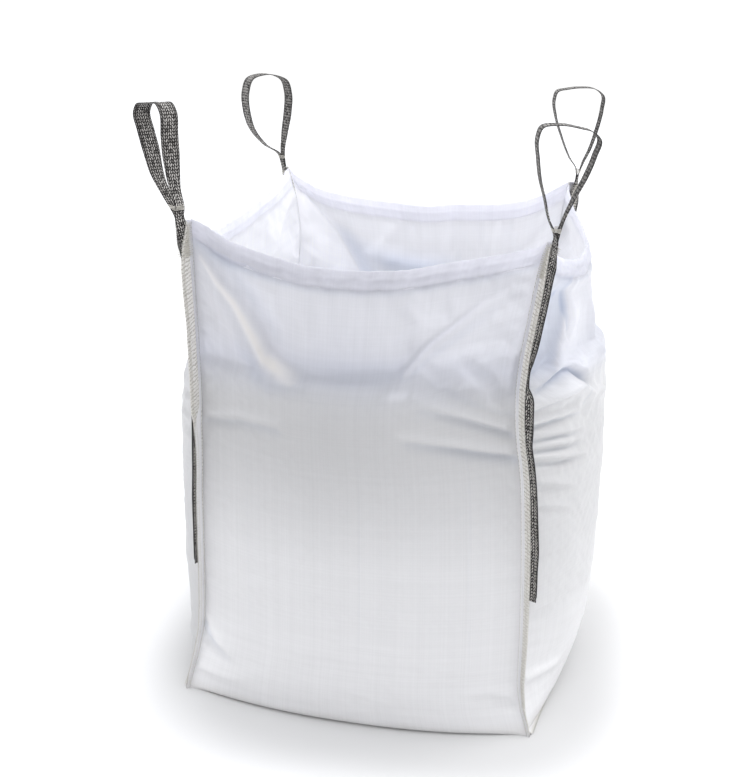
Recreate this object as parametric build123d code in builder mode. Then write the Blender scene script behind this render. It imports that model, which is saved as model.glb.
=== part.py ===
from build123d import *
import math
import os

# Open-top bulk bag (flexible intermediate bulk container) in its filled, standing shape.
# One U-panel makes the front, the base and the rear; two side panels close it. A felt-sealed fin
# seam joins each side panel to the U-panel, down the front corner, along the base edge and up the
# rear corner. A lift loop of flat webbing is sewn on to the fin at each corner with both its legs.
#
# Frame: origin at the centre of the base on the floor, +X right, -Y front, +Z up. Millimetres.

ROOT2 = math.sqrt(2.0)

# ---------------------------------------------------------------- fabric and rim
CORNER_HEIGHT = 1250.0   # top of the fabric at the four corners
RIM_SAG = 88.0           # how far the rim hangs between two corners
RIM_HALF = 424.0         # half width of the sagging part of the rim
FABRIC = 1.2             # coated woven panel with its folds taken as one sheet
HEM = 46.0               # folded hem below the rim
HEM_LEVELS = (1080.0, 1160.0, 1265.0)   # section heights of the hem's inner fold
HEM_EXTRA = 0.3          # extra thickness of the inner fold, lapping into the wall
HEM_SETBACK = 14.0       # the inner fold stops this far short of the corner line
RIM_CUT = 800.0          # reach of the rim cut each way, beyond the bag
RIM_CUT_HALF = 600.0     # half width of the rim cut
RIM_CUT_TOP = 1400.0     # top of the rim cut

# ---------------------------------------------------------------- fin seams
FELT_GAP = 2.6           # room between the two fabric flanges of a fin
FELT = 2.2               # felt strip in that room
FELT_START = 1.0         # first edge of the felt from the corner line
FELT_PROUD = 3.0         # felt showing beyond the side panel's flange
FELT_BASE = FABRIC + 0.2   # underside of the felt
SIDE_START = FABRIC + FELT_GAP   # foot of the side panels
FIN = 30.0               # width of the side panel's flange beyond the corner line
U_FIN = 12.0             # the U-panel's flange is narrower, so the felt shows beside it
BASE_FIN = 16.0          # width of the fin seam along the base edges
BASE_FIN_SETBACK = 3.0   # the base seam's ends stop this far short of the fin's edge
BASE_FIN_SHIFT = 2.0     # shift of the base seam's ends off the corner's diagonal
FLANGE_SHIFT = FELT_GAP / 2.0 / ROOT2   # half the gap, along X or Y

# ---------------------------------------------------------------- cords
THREAD = 1.0             # sewing cord diameter
BEAD = 2.4               # overlock bead along the fin's edge
CORD_GAP = 0.25          # clearance between a fabric face and what lies on it
CHAIN_FROM_CORNER = 9.0  # chain stitch from the corner line
CHAIN_FROM_BASE = 6.0    # chain stitch outside the side wall, along the base
BEAD_OFF = -0.9          # bead's offset from the corner's diagonal plane
BEAD_GAP = 3.2           # bead's edge beyond the fin at the corners
BASE_BEAD_GAP = 0.8      # bead's edge beyond the base fin
STITCH_STEP = 33.0       # spacing of the points along a hem stitch
STITCH_STEPS = 12        # number of steps each side of the middle
STITCH_RISE = 5.0        # hem stitch above the hem's lower edge

# ---------------------------------------------------------------- webbing
WEB_WIDTH = 45.0         # lift webbing
WEB = 1.5                # webbing thickness
WEB_START = 6.0          # first edge of the webbing from the corner line
LEG_END = 365.0          # lower end of the inner leg
OUTER_LEG_RISE = 14.0    # the outer leg ends this much higher
LEG_TOP = 1252.0
LEG_GAP = 0.2            # between the two legs
LEG_OFF = FELT_GAP / 2 + FABRIC + CORD_GAP    # inner leg from the corner's diagonal plane
CORD_OFF = LEG_OFF + 2 * WEB + 0.4 + THREAD / 2   # centre of the cords on the outer leg
TACK_ROWS = 7
TACK_START = CORNER_HEIGHT - 54.0   # height of the lowest row
TACK_PITCH = 8.0
TACK_SLOPE = 5.0         # rise of each row across the webbing
SWING_Z = 1262.0         # bend line of each loop, just above the corner
SWING_OFF = 4.5          # bend line from the corner's diagonal plane
NECK_LOW, NECK_TOP = 1265.0, 1294.0
NECK_GAP = 0.1           # from the middle plane of the neck to each layer
TIE_TURNS = 3
TIE_START = 8.0          # first turn above the bend line
TIE_PITCH = 5.0
TIE_OPENING = 2 * WEB + 0.6
TIE_HALF_LENGTH = WEB_WIDTH / 2 + 0.2

# Left halves of the loop's two outlines, from the neck up, and then the crown:
# across the opening, height above the bend line.
LOOP_LOW = 1299.0 - SWING_Z
LOOP_TOP = 1515.0 - SWING_Z
LOOP_HALF = 67.0         # half of the loop's outer width
LOOP_OUTER = [
    (-2.2, LOOP_LOW),
    (-24.0, LOOP_LOW + 62),
    (-LOOP_HALF + 9, LOOP_LOW + 142),
    (-LOOP_HALF, LOOP_LOW + 188),
    (-LOOP_HALF + 24, LOOP_TOP - 6),
    (0.0, LOOP_TOP),
]
LOOP_INNER = [
    (-0.35, LOOP_LOW + 6),
    (-24.0 + 1.6, LOOP_LOW + 62),
    (-LOOP_HALF + 10.6, LOOP_LOW + 142),
    (-LOOP_HALF + WEB, LOOP_LOW + 188),
    (-LOOP_HALF + 24.6, LOOP_TOP - 7.6),
    (0.0, LOOP_TOP - WEB),
]

# Plan shape of the filled bag:
# height, half spacing of the corner lines, side swell, front and rear swell.
SHAPE = [
    (0.0, 447.0, 107.0, 63.0),
    (60.0, 431.0, 123.0, 84.0),
    (150.0, 414.0, 140.0, 104.0),
    (300.0, 407.5, 152.0, 108.5),
    (450.0, 403.5, 156.0, 108.5),
    (600.0, 398.0, 158.0, 104.0),
    (720.0, 388.0, 163.0, 103.0),
    (840.0, 380.0, 150.0, 95.0),
    (950.0, 385.0, 117.0, 73.0),
    (1060.0, 394.0, 76.0, 49.0),
    (1160.0, 400.0, 44.0, 36.0),
    (1265.0, 412.0, 20.0, 18.0),
]

# Signs of X and Y at each corner.
CORNERS = {
    "front_left": (-1, -1),
    "front_right": (1, -1),
    "rear_left": (-1, 1),
    "rear_right": (1, 1),
}
# Rest attitude of each loop: plan angle of the webbing's width, lean of the crown along X and Y.
LOOP_REST = {
    "front_left": (225.0, -30.0, 0.0),
    "front_right": (282.0, 10.0, 6.0),
    "rear_left": (130.0, -30.0, 0.0),
    "rear_right": (102.0, -8.0, 4.0),
}
SIDES = {"left": -1, "right": 1}   # sign of X

# Upright planes that the rim's sag is drawn on.
FRONT_RIM = Plane(origin=(0, 0, 0), x_dir=(1, 0, 0), z_dir=(0, -1, 0))
SIDE_RIM = Plane(origin=(0, 0, 0), x_dir=(0, 1, 0), z_dir=(1, 0, 0))


# ---------------------------------------------------------------- geometry of the walls
def shape_at(z):
    """Corner half spacing, side swell and front swell at a height."""
    for low, high in zip(SHAPE, SHAPE[1:]):
        if z <= high[0]:
            share = (z - low[0]) / (high[0] - low[0])
            return tuple(low[i] + share * (high[i] - low[i]) for i in (1, 2, 3))
    return SHAPE[-1][1:]


def wall_shape(side, z):
    """Corner half spacing and swell of one wall at a height."""
    spacing, side_swell, front_swell = shape_at(z)
    return spacing, side_swell if side in SIDES else front_swell


def arc_of(half, reach, swell, extra=0.0):
    """Circle over a chord at `reach` that swells outwards, grown by `extra`: centre, radius."""
    radius = (half * half + swell * swell) / (2.0 * swell)
    return reach + swell - radius, radius + extra


def wall_arc(spacing, swell, extra=0.0):
    """Circle of a wall's inner face in plan, grown by `extra`: centre, radius."""
    return arc_of(spacing - FLANGE_SHIFT, spacing + FLANGE_SHIFT, swell, extra)


def on_arc(centre, radius, along):
    """Outward reach of a circle at a distance from the middle of its wall."""
    return centre + math.sqrt(radius * radius - along * along)


def local(side, along, out):
    """Panel coordinates, along the wall and outwards, to plan X, Y."""
    return {
        "front": (along, -out),
        "rear": (-along, out),
        "right": (out, along),
        "left": (-out, -along),
    }[side]


def wall_face(side, z, fin):
    """Plan section of one wall: swelled panel between the corner lines, with its two flanges."""
    spacing, swell = wall_shape(side, z)
    half, reach = spacing - FLANGE_SHIFT, spacing + FLANGE_SHIFT
    centre, inner_radius = wall_arc(spacing, swell)
    outer_radius = inner_radius + FABRIC
    step = FABRIC / ROOT2
    # slide along the flange's outer face to where it meets the panel's outer face
    foot, rise = half - step, reach + step - centre
    diagonal = (foot + rise) / ROOT2
    gap = outer_radius ** 2 - foot ** 2 - rise ** 2
    slide = math.sqrt(diagonal ** 2 + gap) - diagonal
    root_along, root_out = foot + slide / ROOT2, reach + step + slide / ROOT2
    tip_along, tip_out = half + fin / ROOT2, reach + fin / ROOT2

    def mirrored(along, out):
        return local(side, along, out), local(side, -along, out)

    inner, far_inner = mirrored(half, reach)
    tip, far_tip = mirrored(tip_along, tip_out)
    outer_tip, far_outer_tip = mirrored(tip_along - step, tip_out + step)
    root, far_root = mirrored(root_along, root_out)
    with BuildSketch(Plane.XY.offset(z)) as face:
        with BuildLine():
            ThreePointArc(far_inner, local(side, 0.0, centre + inner_radius), inner)
            Line(inner, tip)
            Line(tip, outer_tip)
            Line(outer_tip, root)
            ThreePointArc(root, local(side, 0.0, centre + outer_radius), far_root)
            Line(far_root, far_outer_tip)
            Line(far_outer_tip, far_tip)
            Line(far_tip, far_inner)
        make_face()
    return face.sketch.face()


def wall_faces(side, start, fin):
    """Sections of one wall from its foot up."""
    return [wall_face(side, max(station[0], start), fin) for station in SHAPE]


def hem_face(side, z):
    """Plan section of the inner fold of a hem, just inside its wall."""
    spacing, swell = wall_shape(side, z)
    centre, inner_radius = wall_arc(spacing, swell, -FABRIC)
    outer_radius = inner_radius + FABRIC + HEM_EXTRA
    end = spacing - HEM_SETBACK
    inner = on_arc(centre, inner_radius, end)
    outer = on_arc(centre, outer_radius, end)
    inner_middle = local(side, 0.0, centre + inner_radius)
    outer_middle = local(side, 0.0, centre + outer_radius)
    with BuildSketch(Plane.XY.offset(z)) as face:
        with BuildLine():
            ThreePointArc(local(side, -end, inner), inner_middle, local(side, end, inner))
            Line(local(side, end, inner), local(side, end, outer))
            ThreePointArc(local(side, end, outer), outer_middle, local(side, -end, outer))
            Line(local(side, -end, outer), local(side, -end, inner))
        make_face()
    return face.sketch.face()


def rim_height(along):
    """Height of the sagging rim at a distance from the middle of a wall."""
    radius = (RIM_HALF * RIM_HALF + RIM_SAG * RIM_SAG) / (2 * RIM_SAG)
    return CORNER_HEIGHT - RIM_SAG + radius - math.sqrt(radius * radius - along * along)


def above_rim(plane, drop=0.0):
    """Face that covers everything above the sagging rim of a wall, lowered by `drop`."""
    top = CORNER_HEIGHT - drop
    with BuildSketch(plane) as face:
        with BuildLine():
            Polyline(
                (-RIM_HALF, top),
                (-RIM_CUT_HALF, top),
                (-RIM_CUT_HALF, RIM_CUT_TOP),
                (RIM_CUT_HALF, RIM_CUT_TOP),
                (RIM_CUT_HALF, top),
                (RIM_HALF, top),
            )
            ThreePointArc((RIM_HALF, top), (0, top - RIM_SAG), (-RIM_HALF, top))
        make_face()
    return face.sketch.face()


def base_outline():
    """Floor outline: four swelled sides, with the front and rear walls' own thickness."""
    near, side_swell, front_swell = shape_at(0.0)
    far = near + FLANGE_SHIFT + FABRIC
    front = near + front_swell + FABRIC
    right = near + side_swell
    with BuildSketch(Plane.XY) as face:
        with BuildLine():
            ThreePointArc((-near, -far), (0, -front), (near, -far))
            Line((near, -far), (near, -near))
            ThreePointArc((near, -near), (right, 0), (near, near))
            Line((near, near), (near, far))
            ThreePointArc((near, far), (0, front), (-near, far))
            Line((-near, far), (-near, near))
            ThreePointArc((-near, near), (-right, 0), (-near, -near))
            Line((-near, -near), (-near, -far))
        make_face()
    return face.sketch


def base_fin_face(side, z, back=0.0, shift=BASE_FIN_SHIFT):
    """Plan of the base seam's flange outside one side wall, from corner fin to corner fin.
    `back` moves its inner edge in under the wall."""
    spacing, swell = wall_shape(side, z)
    tip = spacing + FIN / ROOT2 - BASE_FIN_SETBACK
    sign = SIDES[side]
    inner_x = sign * (spacing + shift - back)
    inner_y = spacing - shift
    outer_x = sign * (tip + shift)
    outer_y = tip - shift
    inner_middle = (sign * (spacing + swell - back), 0)
    outer_middle = (sign * (spacing + swell + BASE_FIN), 0)
    with BuildSketch(Plane.XY.offset(z)) as face:
        with BuildLine():
            ThreePointArc((inner_x, -inner_y), inner_middle, (inner_x, inner_y))
            Line((inner_x, inner_y), (outer_x, outer_y))
            ThreePointArc((outer_x, outer_y), outer_middle, (outer_x, -outer_y))
            Line((outer_x, -outer_y), (inner_x, -inner_y))
        make_face()
    return face.sketch


# ---------------------------------------------------------------- geometry of the corners
def fin_point(sign_x, sign_y, z, out, off):
    """Point `out` from a corner line and `off` its diagonal plane towards the side panel."""
    spacing = shape_at(z)[0]
    return (
        sign_x * spacing + sign_x / ROOT2 * out + sign_x / ROOT2 * off,
        sign_y * spacing + sign_y / ROOT2 * out - sign_y / ROOT2 * off,
        z,
    )


def fin_levels(low, high):
    """Section heights between two heights, with every station of the bag's shape."""
    return [low] + [station[0] for station in SHAPE if low < station[0] < high] + [high]


def fin_slab(sign_x, sign_y, low, high, off, thick, start, end):
    """Sections of a flat strip that follows a corner line, `start` to `end` outwards from it."""
    sections = []
    for z in fin_levels(low, high):
        ring = ((start, off), (end, off), (end, off + thick), (start, off + thick))
        points = [fin_point(sign_x, sign_y, z, *place)[:2] for place in ring]
        with BuildSketch(Plane.XY.offset(z)) as face:
            with BuildLine():
                Polyline(*points, close=True)
            make_face()
        sections.append(face.sketch.face())
    return sections


def fin_cord(sign_x, sign_y, low, high, out, off, radius):
    """Round sections of a cord that runs up a corner."""
    sections = []
    for z in fin_levels(low, high):
        x, y, z = fin_point(sign_x, sign_y, z, out, off)
        with BuildSketch(Plane.XY.offset(z)) as face:
            with Locations((x, y)):
                Circle(radius)
        sections.append(face.sketch.face())
    return sections


def base_row(sign_x, centre, radius, end, z):
    """Three points of a cord's arc along a side's base edge, from -`end` to `end` in Y."""
    x = on_arc(centre, radius, end)
    return (sign_x * x, -end, z), (sign_x * (centre + radius), 0, z), (sign_x * x, end, z)


def swing_origin(name):
    """Middle of the webbing at a corner's bend line."""
    return fin_point(*CORNERS[name], SWING_Z, WEB_START + WEB_WIDTH / 2, SWING_OFF)


def swing_plane(name):
    """Plane at the bend line: x across the webbing's thickness, y up, z along its width."""
    sign_x, sign_y = CORNERS[name]
    outward = Vector(sign_x / ROOT2, sign_y / ROOT2, 0)
    return Plane(
        origin=swing_origin(name), x_dir=Vector(0, 0, 1).cross(outward), z_dir=outward
    )


def loop_plane(name):
    """Plane of a lift loop: x across its opening, y up its axis, z along the webbing's width."""
    angle, lean_x, lean_y = LOOP_REST[name]
    up = Vector(lean_x, lean_y, LOOP_TOP).normalized()
    width = Vector(math.cos(math.radians(angle)), math.sin(math.radians(angle)), 0)
    width = (width - up * width.dot(up)).normalized()
    return Plane(origin=swing_origin(name), x_dir=up.cross(width), z_dir=width)


def save(builder, label):
    """Labels a finished piece and writes it."""
    builder.part.label = label
    export_step(builder.part, "parts/" + label + ".step")


# ---------------------------------------------------------------- panels
def hem_fold(sides, rim_plane):
    """Inner folds of the hems of these walls."""
    with BuildPart() as tall_fold:
        for side in sides:
            loft(sections=[hem_face(side, z) for z in HEM_LEVELS], ruled=True)
        extrude(above_rim(rim_plane), amount=RIM_CUT, both=True, mode=Mode.SUBTRACT)
    with BuildPart() as hem_zone:
        extrude(above_rim(rim_plane, drop=HEM), amount=RIM_CUT, both=True)
    with BuildPart() as fold:
        add(tall_fold.part)
        add(hem_zone.part, mode=Mode.INTERSECT)
    return fold.part


def make_u_panel():
    """Front, base and rear in one cloth."""
    with BuildPart() as cloth:
        add(base_outline())
        extrude(amount=FABRIC)
        for side in SIDES:
            add(base_fin_face(side, 0.0, back=4.0))
            extrude(amount=FABRIC)
        for side in ("front", "rear"):
            loft(sections=wall_faces(side, 0.0, U_FIN), ruled=True)
        extrude(above_rim(FRONT_RIM), amount=RIM_CUT, both=True, mode=Mode.SUBTRACT)
    fold = hem_fold(("front", "rear"), FRONT_RIM)
    with BuildPart() as panel:
        add(cloth.part)
        add(fold)
    save(panel, "u_panel")


def make_side_panel(side):
    """Side wall with its base flange and hem."""
    with BuildPart() as cloth:
        loft(sections=wall_faces(side, SIDE_START, FIN), ruled=True)
        add(base_fin_face(side, SIDE_START, back=-0.2))
        extrude(amount=FABRIC)
        extrude(above_rim(SIDE_RIM), amount=RIM_CUT, both=True, mode=Mode.SUBTRACT)
    fold = hem_fold((side,), SIDE_RIM)
    with BuildPart() as panel:
        add(cloth.part)
        add(fold)
    save(panel, "side_panel_" + side)


# ---------------------------------------------------------------- fin seams
def make_seam_felt(side):
    """Felt strips up both corners and along the base edge."""
    top = CORNER_HEIGHT - 2.0
    with BuildPart() as felt:
        for sign_y in (-1, 1):
            strip = fin_slab(SIDES[side], sign_y, FELT_BASE, top, off=-FELT / 2, thick=FELT,
                             start=FELT_START, end=FIN + FELT_PROUD)
            loft(sections=strip, ruled=True)
        add(base_fin_face(side, FELT_BASE, shift=0.6))
        extrude(amount=FELT)
    save(felt, "seam_felt_" + side)


def make_chain_stitch(side):
    """Cord on the U-panel's flange at both corners, and on the side panel's base flange."""
    sign_x = SIDES[side]
    off = -FELT_GAP / 2 - FABRIC - CORD_GAP - THREAD / 2
    spacing, swell = wall_shape(side, 0.0)
    z = SIDE_START + FABRIC + CORD_GAP + THREAD / 2
    centre, radius = arc_of(spacing, spacing, swell, FABRIC + CHAIN_FROM_BASE)
    with BuildPart() as chain:
        for sign_y in (-1, 1):
            cord = fin_cord(sign_x, sign_y, 14.0, CORNER_HEIGHT - 4.0,
                            CHAIN_FROM_CORNER, off, THREAD / 2)
            loft(sections=cord, ruled=True)
        with BuildLine() as row:
            ThreePointArc(*base_row(sign_x, centre, radius, spacing - 34.0, z))
        with BuildSketch(Plane(origin=row.line @ 0, z_dir=row.line % 0)):
            Circle(THREAD / 2)
        sweep(path=row.wires()[0])
    save(chain, "seam_chain_stitch_" + side)


def make_overlock(side):
    """Bead along the outer edge of the fin at both corners and along the base."""
    sign_x = SIDES[side]
    spacing, swell = wall_shape(side, 0.0)
    tip = spacing + FIN / ROOT2 - BASE_FIN_SETBACK
    centre, radius = arc_of(
        half=tip - BASE_FIN_SHIFT,
        reach=tip + BASE_FIN_SHIFT,
        swell=spacing + swell + BASE_FIN - tip - BASE_FIN_SHIFT,
        extra=BASE_BEAD_GAP + BEAD / 2,
    )
    z = FELT_BASE + FELT / 2
    with BuildPart() as overlock:
        for sign_y in (-1, 1):
            cord = fin_cord(sign_x, sign_y, 4.0, CORNER_HEIGHT - 4.0,
                            FIN + BEAD_GAP + BEAD / 2, BEAD_OFF, BEAD / 2)
            loft(sections=cord, ruled=True)
        with BuildLine() as row:
            ThreePointArc(*base_row(sign_x, centre, radius, tip - 14.0, z))
        with BuildSketch(Plane(origin=row.line @ 0, z_dir=row.line % 0)):
            Circle(BEAD / 2)
        sweep(path=row.wires()[0])
    save(overlock, "seam_overlock_" + side)


def make_hem_stitch(side):
    """One row of cord along the hem on the outside of a wall."""
    points = []
    for i in range(-STITCH_STEPS, STITCH_STEPS + 1):
        along = STITCH_STEP * i
        z = rim_height(along) - HEM + STITCH_RISE
        centre, radius = wall_arc(*wall_shape(side, z), FABRIC + 0.35 + THREAD / 2)
        x, y = local(side, along, on_arc(centre, radius, along))
        points.append((x, y, z))
    with BuildPart() as stitch:
        with BuildLine() as row:
            Polyline(*points)
        with BuildSketch(Plane(origin=points[0], z_dir=row.line % 0)):
            Circle(THREAD / 2)
        sweep(path=row.wires()[0], transition=Transition.RIGHT)
    save(stitch, "hem_stitch_" + side)


# ---------------------------------------------------------------- webbing at one corner
def make_legs(name):
    """Two layers of webbing on the side panel's flange."""
    for layer, low, off in (
        ("inner", LEG_END, LEG_OFF),
        ("outer", LEG_END + OUTER_LEG_RISE, LEG_OFF + WEB + LEG_GAP),
    ):
        with BuildPart() as leg:
            strip = fin_slab(*CORNERS[name], low, LEG_TOP, off=off, thick=WEB,
                             start=WEB_START, end=WEB_START + WEB_WIDTH)
            loft(sections=strip, ruled=True)
        save(leg, "loop_leg_" + layer + "_" + name)


def make_leg_stitching(name):
    """Two rows of cord over the outer leg where it lies on the fin."""
    with BuildPart() as stitching:
        for out in (WEB_START + 4.0, FIN - 6.0):
            cord = fin_cord(*CORNERS[name], LEG_END + 22.0, CORNER_HEIGHT - 70.0,
                            out, CORD_OFF, THREAD / 2)
            loft(sections=cord, ruled=True)
    save(stitching, "leg_stitching_" + name)


def make_bartack(name):
    """Dense box of sloping cord rows that holds the loop at the rim."""
    with BuildPart() as bartack:
        for i in range(TACK_ROWS):
            z = TACK_START + TACK_PITCH * i
            start = fin_point(*CORNERS[name], z, WEB_START + 2.0, CORD_OFF)
            end = fin_point(*CORNERS[name], z + TACK_SLOPE, FIN - 4.0, CORD_OFF)
            with BuildLine() as row:
                Line(start, end)
            with BuildSketch(Plane(origin=start, z_dir=row.line % 0)):
                Circle(THREAD / 2)
            sweep(path=row.wires()[0])
    save(bartack, "loop_bartack_" + name)


def make_neck(name):
    """Two flat layers of webbing above the bend line."""
    middle = (NECK_LOW + NECK_TOP) / 2 - SWING_Z
    with BuildPart() as neck:
        for sign in (-1, 1):
            with BuildSketch(swing_plane(name)):
                with Locations((sign * (NECK_GAP + WEB / 2), middle)):
                    Rectangle(WEB, NECK_TOP - NECK_LOW)
            extrude(amount=WEB_WIDTH / 2, both=True)
    save(neck, "loop_neck_" + name)


def make_neck_tie(name):
    """Cord wound round the two layers of the neck; each turn is a block less its opening."""
    with BuildPart() as tie:
        for i in range(TIE_TURNS):
            y = TIE_START + TIE_PITCH * i
            with BuildSketch(swing_plane(name)):
                with Locations((0, y)):
                    Rectangle(TIE_OPENING + 2 * THREAD, THREAD * 1.6)
            extrude(amount=TIE_HALF_LENGTH + THREAD, both=True)
            with BuildSketch(swing_plane(name)):
                with Locations((0, y)):
                    Rectangle(TIE_OPENING, THREAD * 4)
            extrude(amount=TIE_HALF_LENGTH, both=True, mode=Mode.SUBTRACT)
    save(tie, "neck_tie_" + name)


def make_lift_loop(name):
    """Teardrop ring of webbing whose legs come together above the neck."""
    with BuildPart() as loop:
        with BuildSketch(loop_plane(name)):
            for left, mode in ((LOOP_OUTER, Mode.ADD), (LOOP_INNER, Mode.SUBTRACT)):
                points = left + [(-x, y) for x, y in reversed(left[:-1])]
                with BuildLine():
                    Spline(*points)
                    Line(points[-1], points[0])
                make_face(mode=mode)
        extrude(amount=WEB_WIDTH / 2, both=True)
    save(loop, "lift_loop_" + name)


os.makedirs("parts", exist_ok=True)

make_u_panel()
for side in SIDES:
    make_side_panel(side)
    make_seam_felt(side)
    make_chain_stitch(side)
    make_overlock(side)
for side in ("front", "rear", "left", "right"):
    make_hem_stitch(side)
for name in CORNERS:
    make_legs(name)
    make_leg_stitching(name)
    make_bartack(name)
    make_neck(name)
    make_neck_tie(name)
    make_lift_loop(name)
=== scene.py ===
"""Open-top bulk bag: woven cloth panels, felt fin seams, sewing thread and webbing lift loops.

Metres: origin at the centre of the base on the floor, +X right, -Y front, +Z up. Corners are FL,
FR, RR and RL (front/rear, left/right). A place on a wall is `across`, -1 to 1 from corner to
corner and rightwards seen from outside, and z. Flat tables of points list pairs of numbers.
"""

import math

import bpy
import numpy as np
from mathutils import Matrix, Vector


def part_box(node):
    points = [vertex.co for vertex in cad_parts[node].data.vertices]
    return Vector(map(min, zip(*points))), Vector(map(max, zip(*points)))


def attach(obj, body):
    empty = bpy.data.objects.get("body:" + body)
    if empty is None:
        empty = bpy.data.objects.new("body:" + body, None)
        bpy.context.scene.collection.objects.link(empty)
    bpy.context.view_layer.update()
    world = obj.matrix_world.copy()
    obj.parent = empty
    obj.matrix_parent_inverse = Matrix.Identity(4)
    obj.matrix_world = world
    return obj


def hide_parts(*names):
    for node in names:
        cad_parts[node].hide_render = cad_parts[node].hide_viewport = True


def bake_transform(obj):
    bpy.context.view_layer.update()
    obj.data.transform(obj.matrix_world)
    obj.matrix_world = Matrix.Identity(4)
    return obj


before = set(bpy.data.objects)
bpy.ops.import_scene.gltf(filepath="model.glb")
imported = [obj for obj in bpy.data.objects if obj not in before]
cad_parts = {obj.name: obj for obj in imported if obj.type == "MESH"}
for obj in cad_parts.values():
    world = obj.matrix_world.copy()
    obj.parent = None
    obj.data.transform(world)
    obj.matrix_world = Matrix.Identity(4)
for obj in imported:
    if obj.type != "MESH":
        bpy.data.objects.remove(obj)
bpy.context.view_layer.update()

# ------------------------------------------------------------------ numeric helpers


def curve(*pairs):
    """Monotone cubic through points, given as x,y pairs."""
    knots, levels = np.reshape(np.array(pairs, float), (-1, 2)).T
    gap = np.diff(knots)
    slope = np.diff(levels) / gap
    tangent = np.zeros(len(knots))
    tangent[0], tangent[-1] = slope[0], slope[-1]
    for i in range(1, len(knots) - 1):
        if slope[i - 1] * slope[i] > 0:
            before, after = 2 * gap[i] + gap[i - 1], gap[i] + 2 * gap[i - 1]
            tangent[i] = (before + after) / (before / slope[i - 1] + after / slope[i])

    def level_at(x):
        x = np.clip(np.asarray(x, float), knots[0], knots[-1])
        i = np.clip(np.searchsorted(knots, x, side="right") - 1, 0, len(gap) - 1)
        t = (x - knots[i]) / gap[i]
        t2, t3 = t * t, t * t * t
        return (levels[i] * (2 * t3 - 3 * t2 + 1) + gap[i] * tangent[i] * (t3 - 2 * t2 + t)
                + levels[i + 1] * (3 * t2 - 2 * t3) + gap[i] * tangent[i + 1] * (t3 - t2))

    return level_at


def smooth(low, high, x):
    """Smoothstep from 0 at low to 1 at high."""
    t = np.clip((np.asarray(x, float) - low) / (high - low), 0, 1)
    return t * t * (3 - 2 * t)


def window(z, rise_start, rise_end, fall_start, fall_end):
    """Rises from 0 to 1, then falls back."""
    return smooth(rise_start, rise_end, z) * (1 - smooth(fall_start, fall_end, z))


def bell(x, centre, width):
    return np.exp(-((x - centre) / width) ** 2)


def lattice(column, row, seed):
    """Repeatable random value, -1 to 1, of a whole-number grid point."""
    mixed = (column * 374761393 + row * 668265263 + seed * 974711 + 12345) & 0xFFFFFFFF
    mixed = ((mixed ^ (mixed >> 13)) * 1274126177) & 0xFFFFFFFF
    return ((mixed ^ (mixed >> 16)) & 0xFFFF) / 32767.5 - 1.0


def noise(x, y, seed):
    """Smooth noise, -1 to 1."""
    column, row = np.floor(x).astype(np.int64), np.floor(y).astype(np.int64)
    x, y = x - column, y - row
    x = x * x * x * (x * (x * 6 - 15) + 10)
    y = y * y * y * (y * (y * 6 - 15) + 10)
    near = lattice(column, row, seed) * (1 - x) + lattice(column + 1, row, seed) * x
    far = lattice(column, row + 1, seed) * (1 - x) + lattice(column + 1, row + 1, seed) * x
    return near * (1 - y) + far * y


def layered(x, y, octaves, growth, turn, turn_start, shift_x, shift_y, sample):
    """Weighted mean of octaves, each turned, finer and half as strong as the one before."""
    total, strength, weight = 0.0, 1.0, 0.0
    for k in range(octaves):
        angle = turn * k + turn_start
        cosine, sine = math.cos(angle), math.sin(angle)
        total = total + strength * sample((cosine * x - sine * y) * growth**k + shift_x * k,
                                          (sine * x + cosine * y) * growth**k + shift_y * k, k)
        weight += strength
        strength *= 0.5
    return total / weight


def fbm(x, y, seed, octaves):
    """Cloudy noise, -1 to 1."""
    return layered(x, y, octaves, 2, 0.7, 0.0, 17.3, 9.1, lambda x, y, k: noise(x, y, seed + k))


def creased(x, y, seed, octaves):
    """Noise with sharp ridge lines, like crumpled sheet, about -1 to 1."""

    def ridged(x, y, k):
        value = noise(x, y, seed + 31 * k)
        return 1 - 2 * np.sqrt(value * value + 0.004)

    return layered(x, y, octaves, 1.9, 0.9, 0.4, 5.7, 3.3, ridged)


# ------------------------------------------------------------------ shape of the bag

HEIGHT = 1.25
HALF_SPAN = 0.41  # nominal half distance between corner seams

SIGN = {"FL": (-1, -1), "FR": (1, -1), "RR": (1, 1), "RL": (-1, 1)}
LONG = {"FL": "front_left", "FR": "front_right", "RR": "rear_right", "RL": "rear_left"}
# first corner, last corner, outward direction
WALLS = {
    "front": ("FL", "FR", np.array([0.0, -1.0, 0.0])),
    "right": ("FR", "RR", np.array([1.0, 0.0, 0.0])),
    "rear": ("RR", "RL", np.array([0.0, 1.0, 0.0])),
    "left": ("RL", "FL", np.array([-1.0, 0.0, 0.0])),
}
# z, distance of the corner line from both middle planes
CORNER = {
    "FR": curve(
        0,.447, .03,.437, .065,.423, .145,.411, .215,.410, .315,.407, .465,.400, .54,.395,
        .62,.389, .70,.379, .75,.369, .81,.361, .88,.358, .96,.363, 1.035,.373, 1.08,.379,
        1.15,.389, 1.21,.400, 1.25,.412),
    "FL": curve(
        0,.446, .03,.440, .075,.430, .125,.420, .19,.411, .305,.408, .42,.407, .535,.407,
        .64,.405, .735,.404, .84,.403, .945,.405, 1.03,.407, 1.105,.409, 1.19,.411, 1.25,.412),
    "RR": curve(
        0,.447, .06,.431, .15,.414, .30,.408, .45,.404, .60,.398, .72,.390, .84,.384,
        .95,.386, 1.06,.392, 1.16,.400, 1.25,.412),
    "RL": curve(
        0,.447, .06,.431, .15,.414, .30,.408, .45,.404, .60,.400, .72,.394, .84,.386,
        .95,.370, 1.06,.362, 1.16,.376, 1.25,.412),
}
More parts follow.
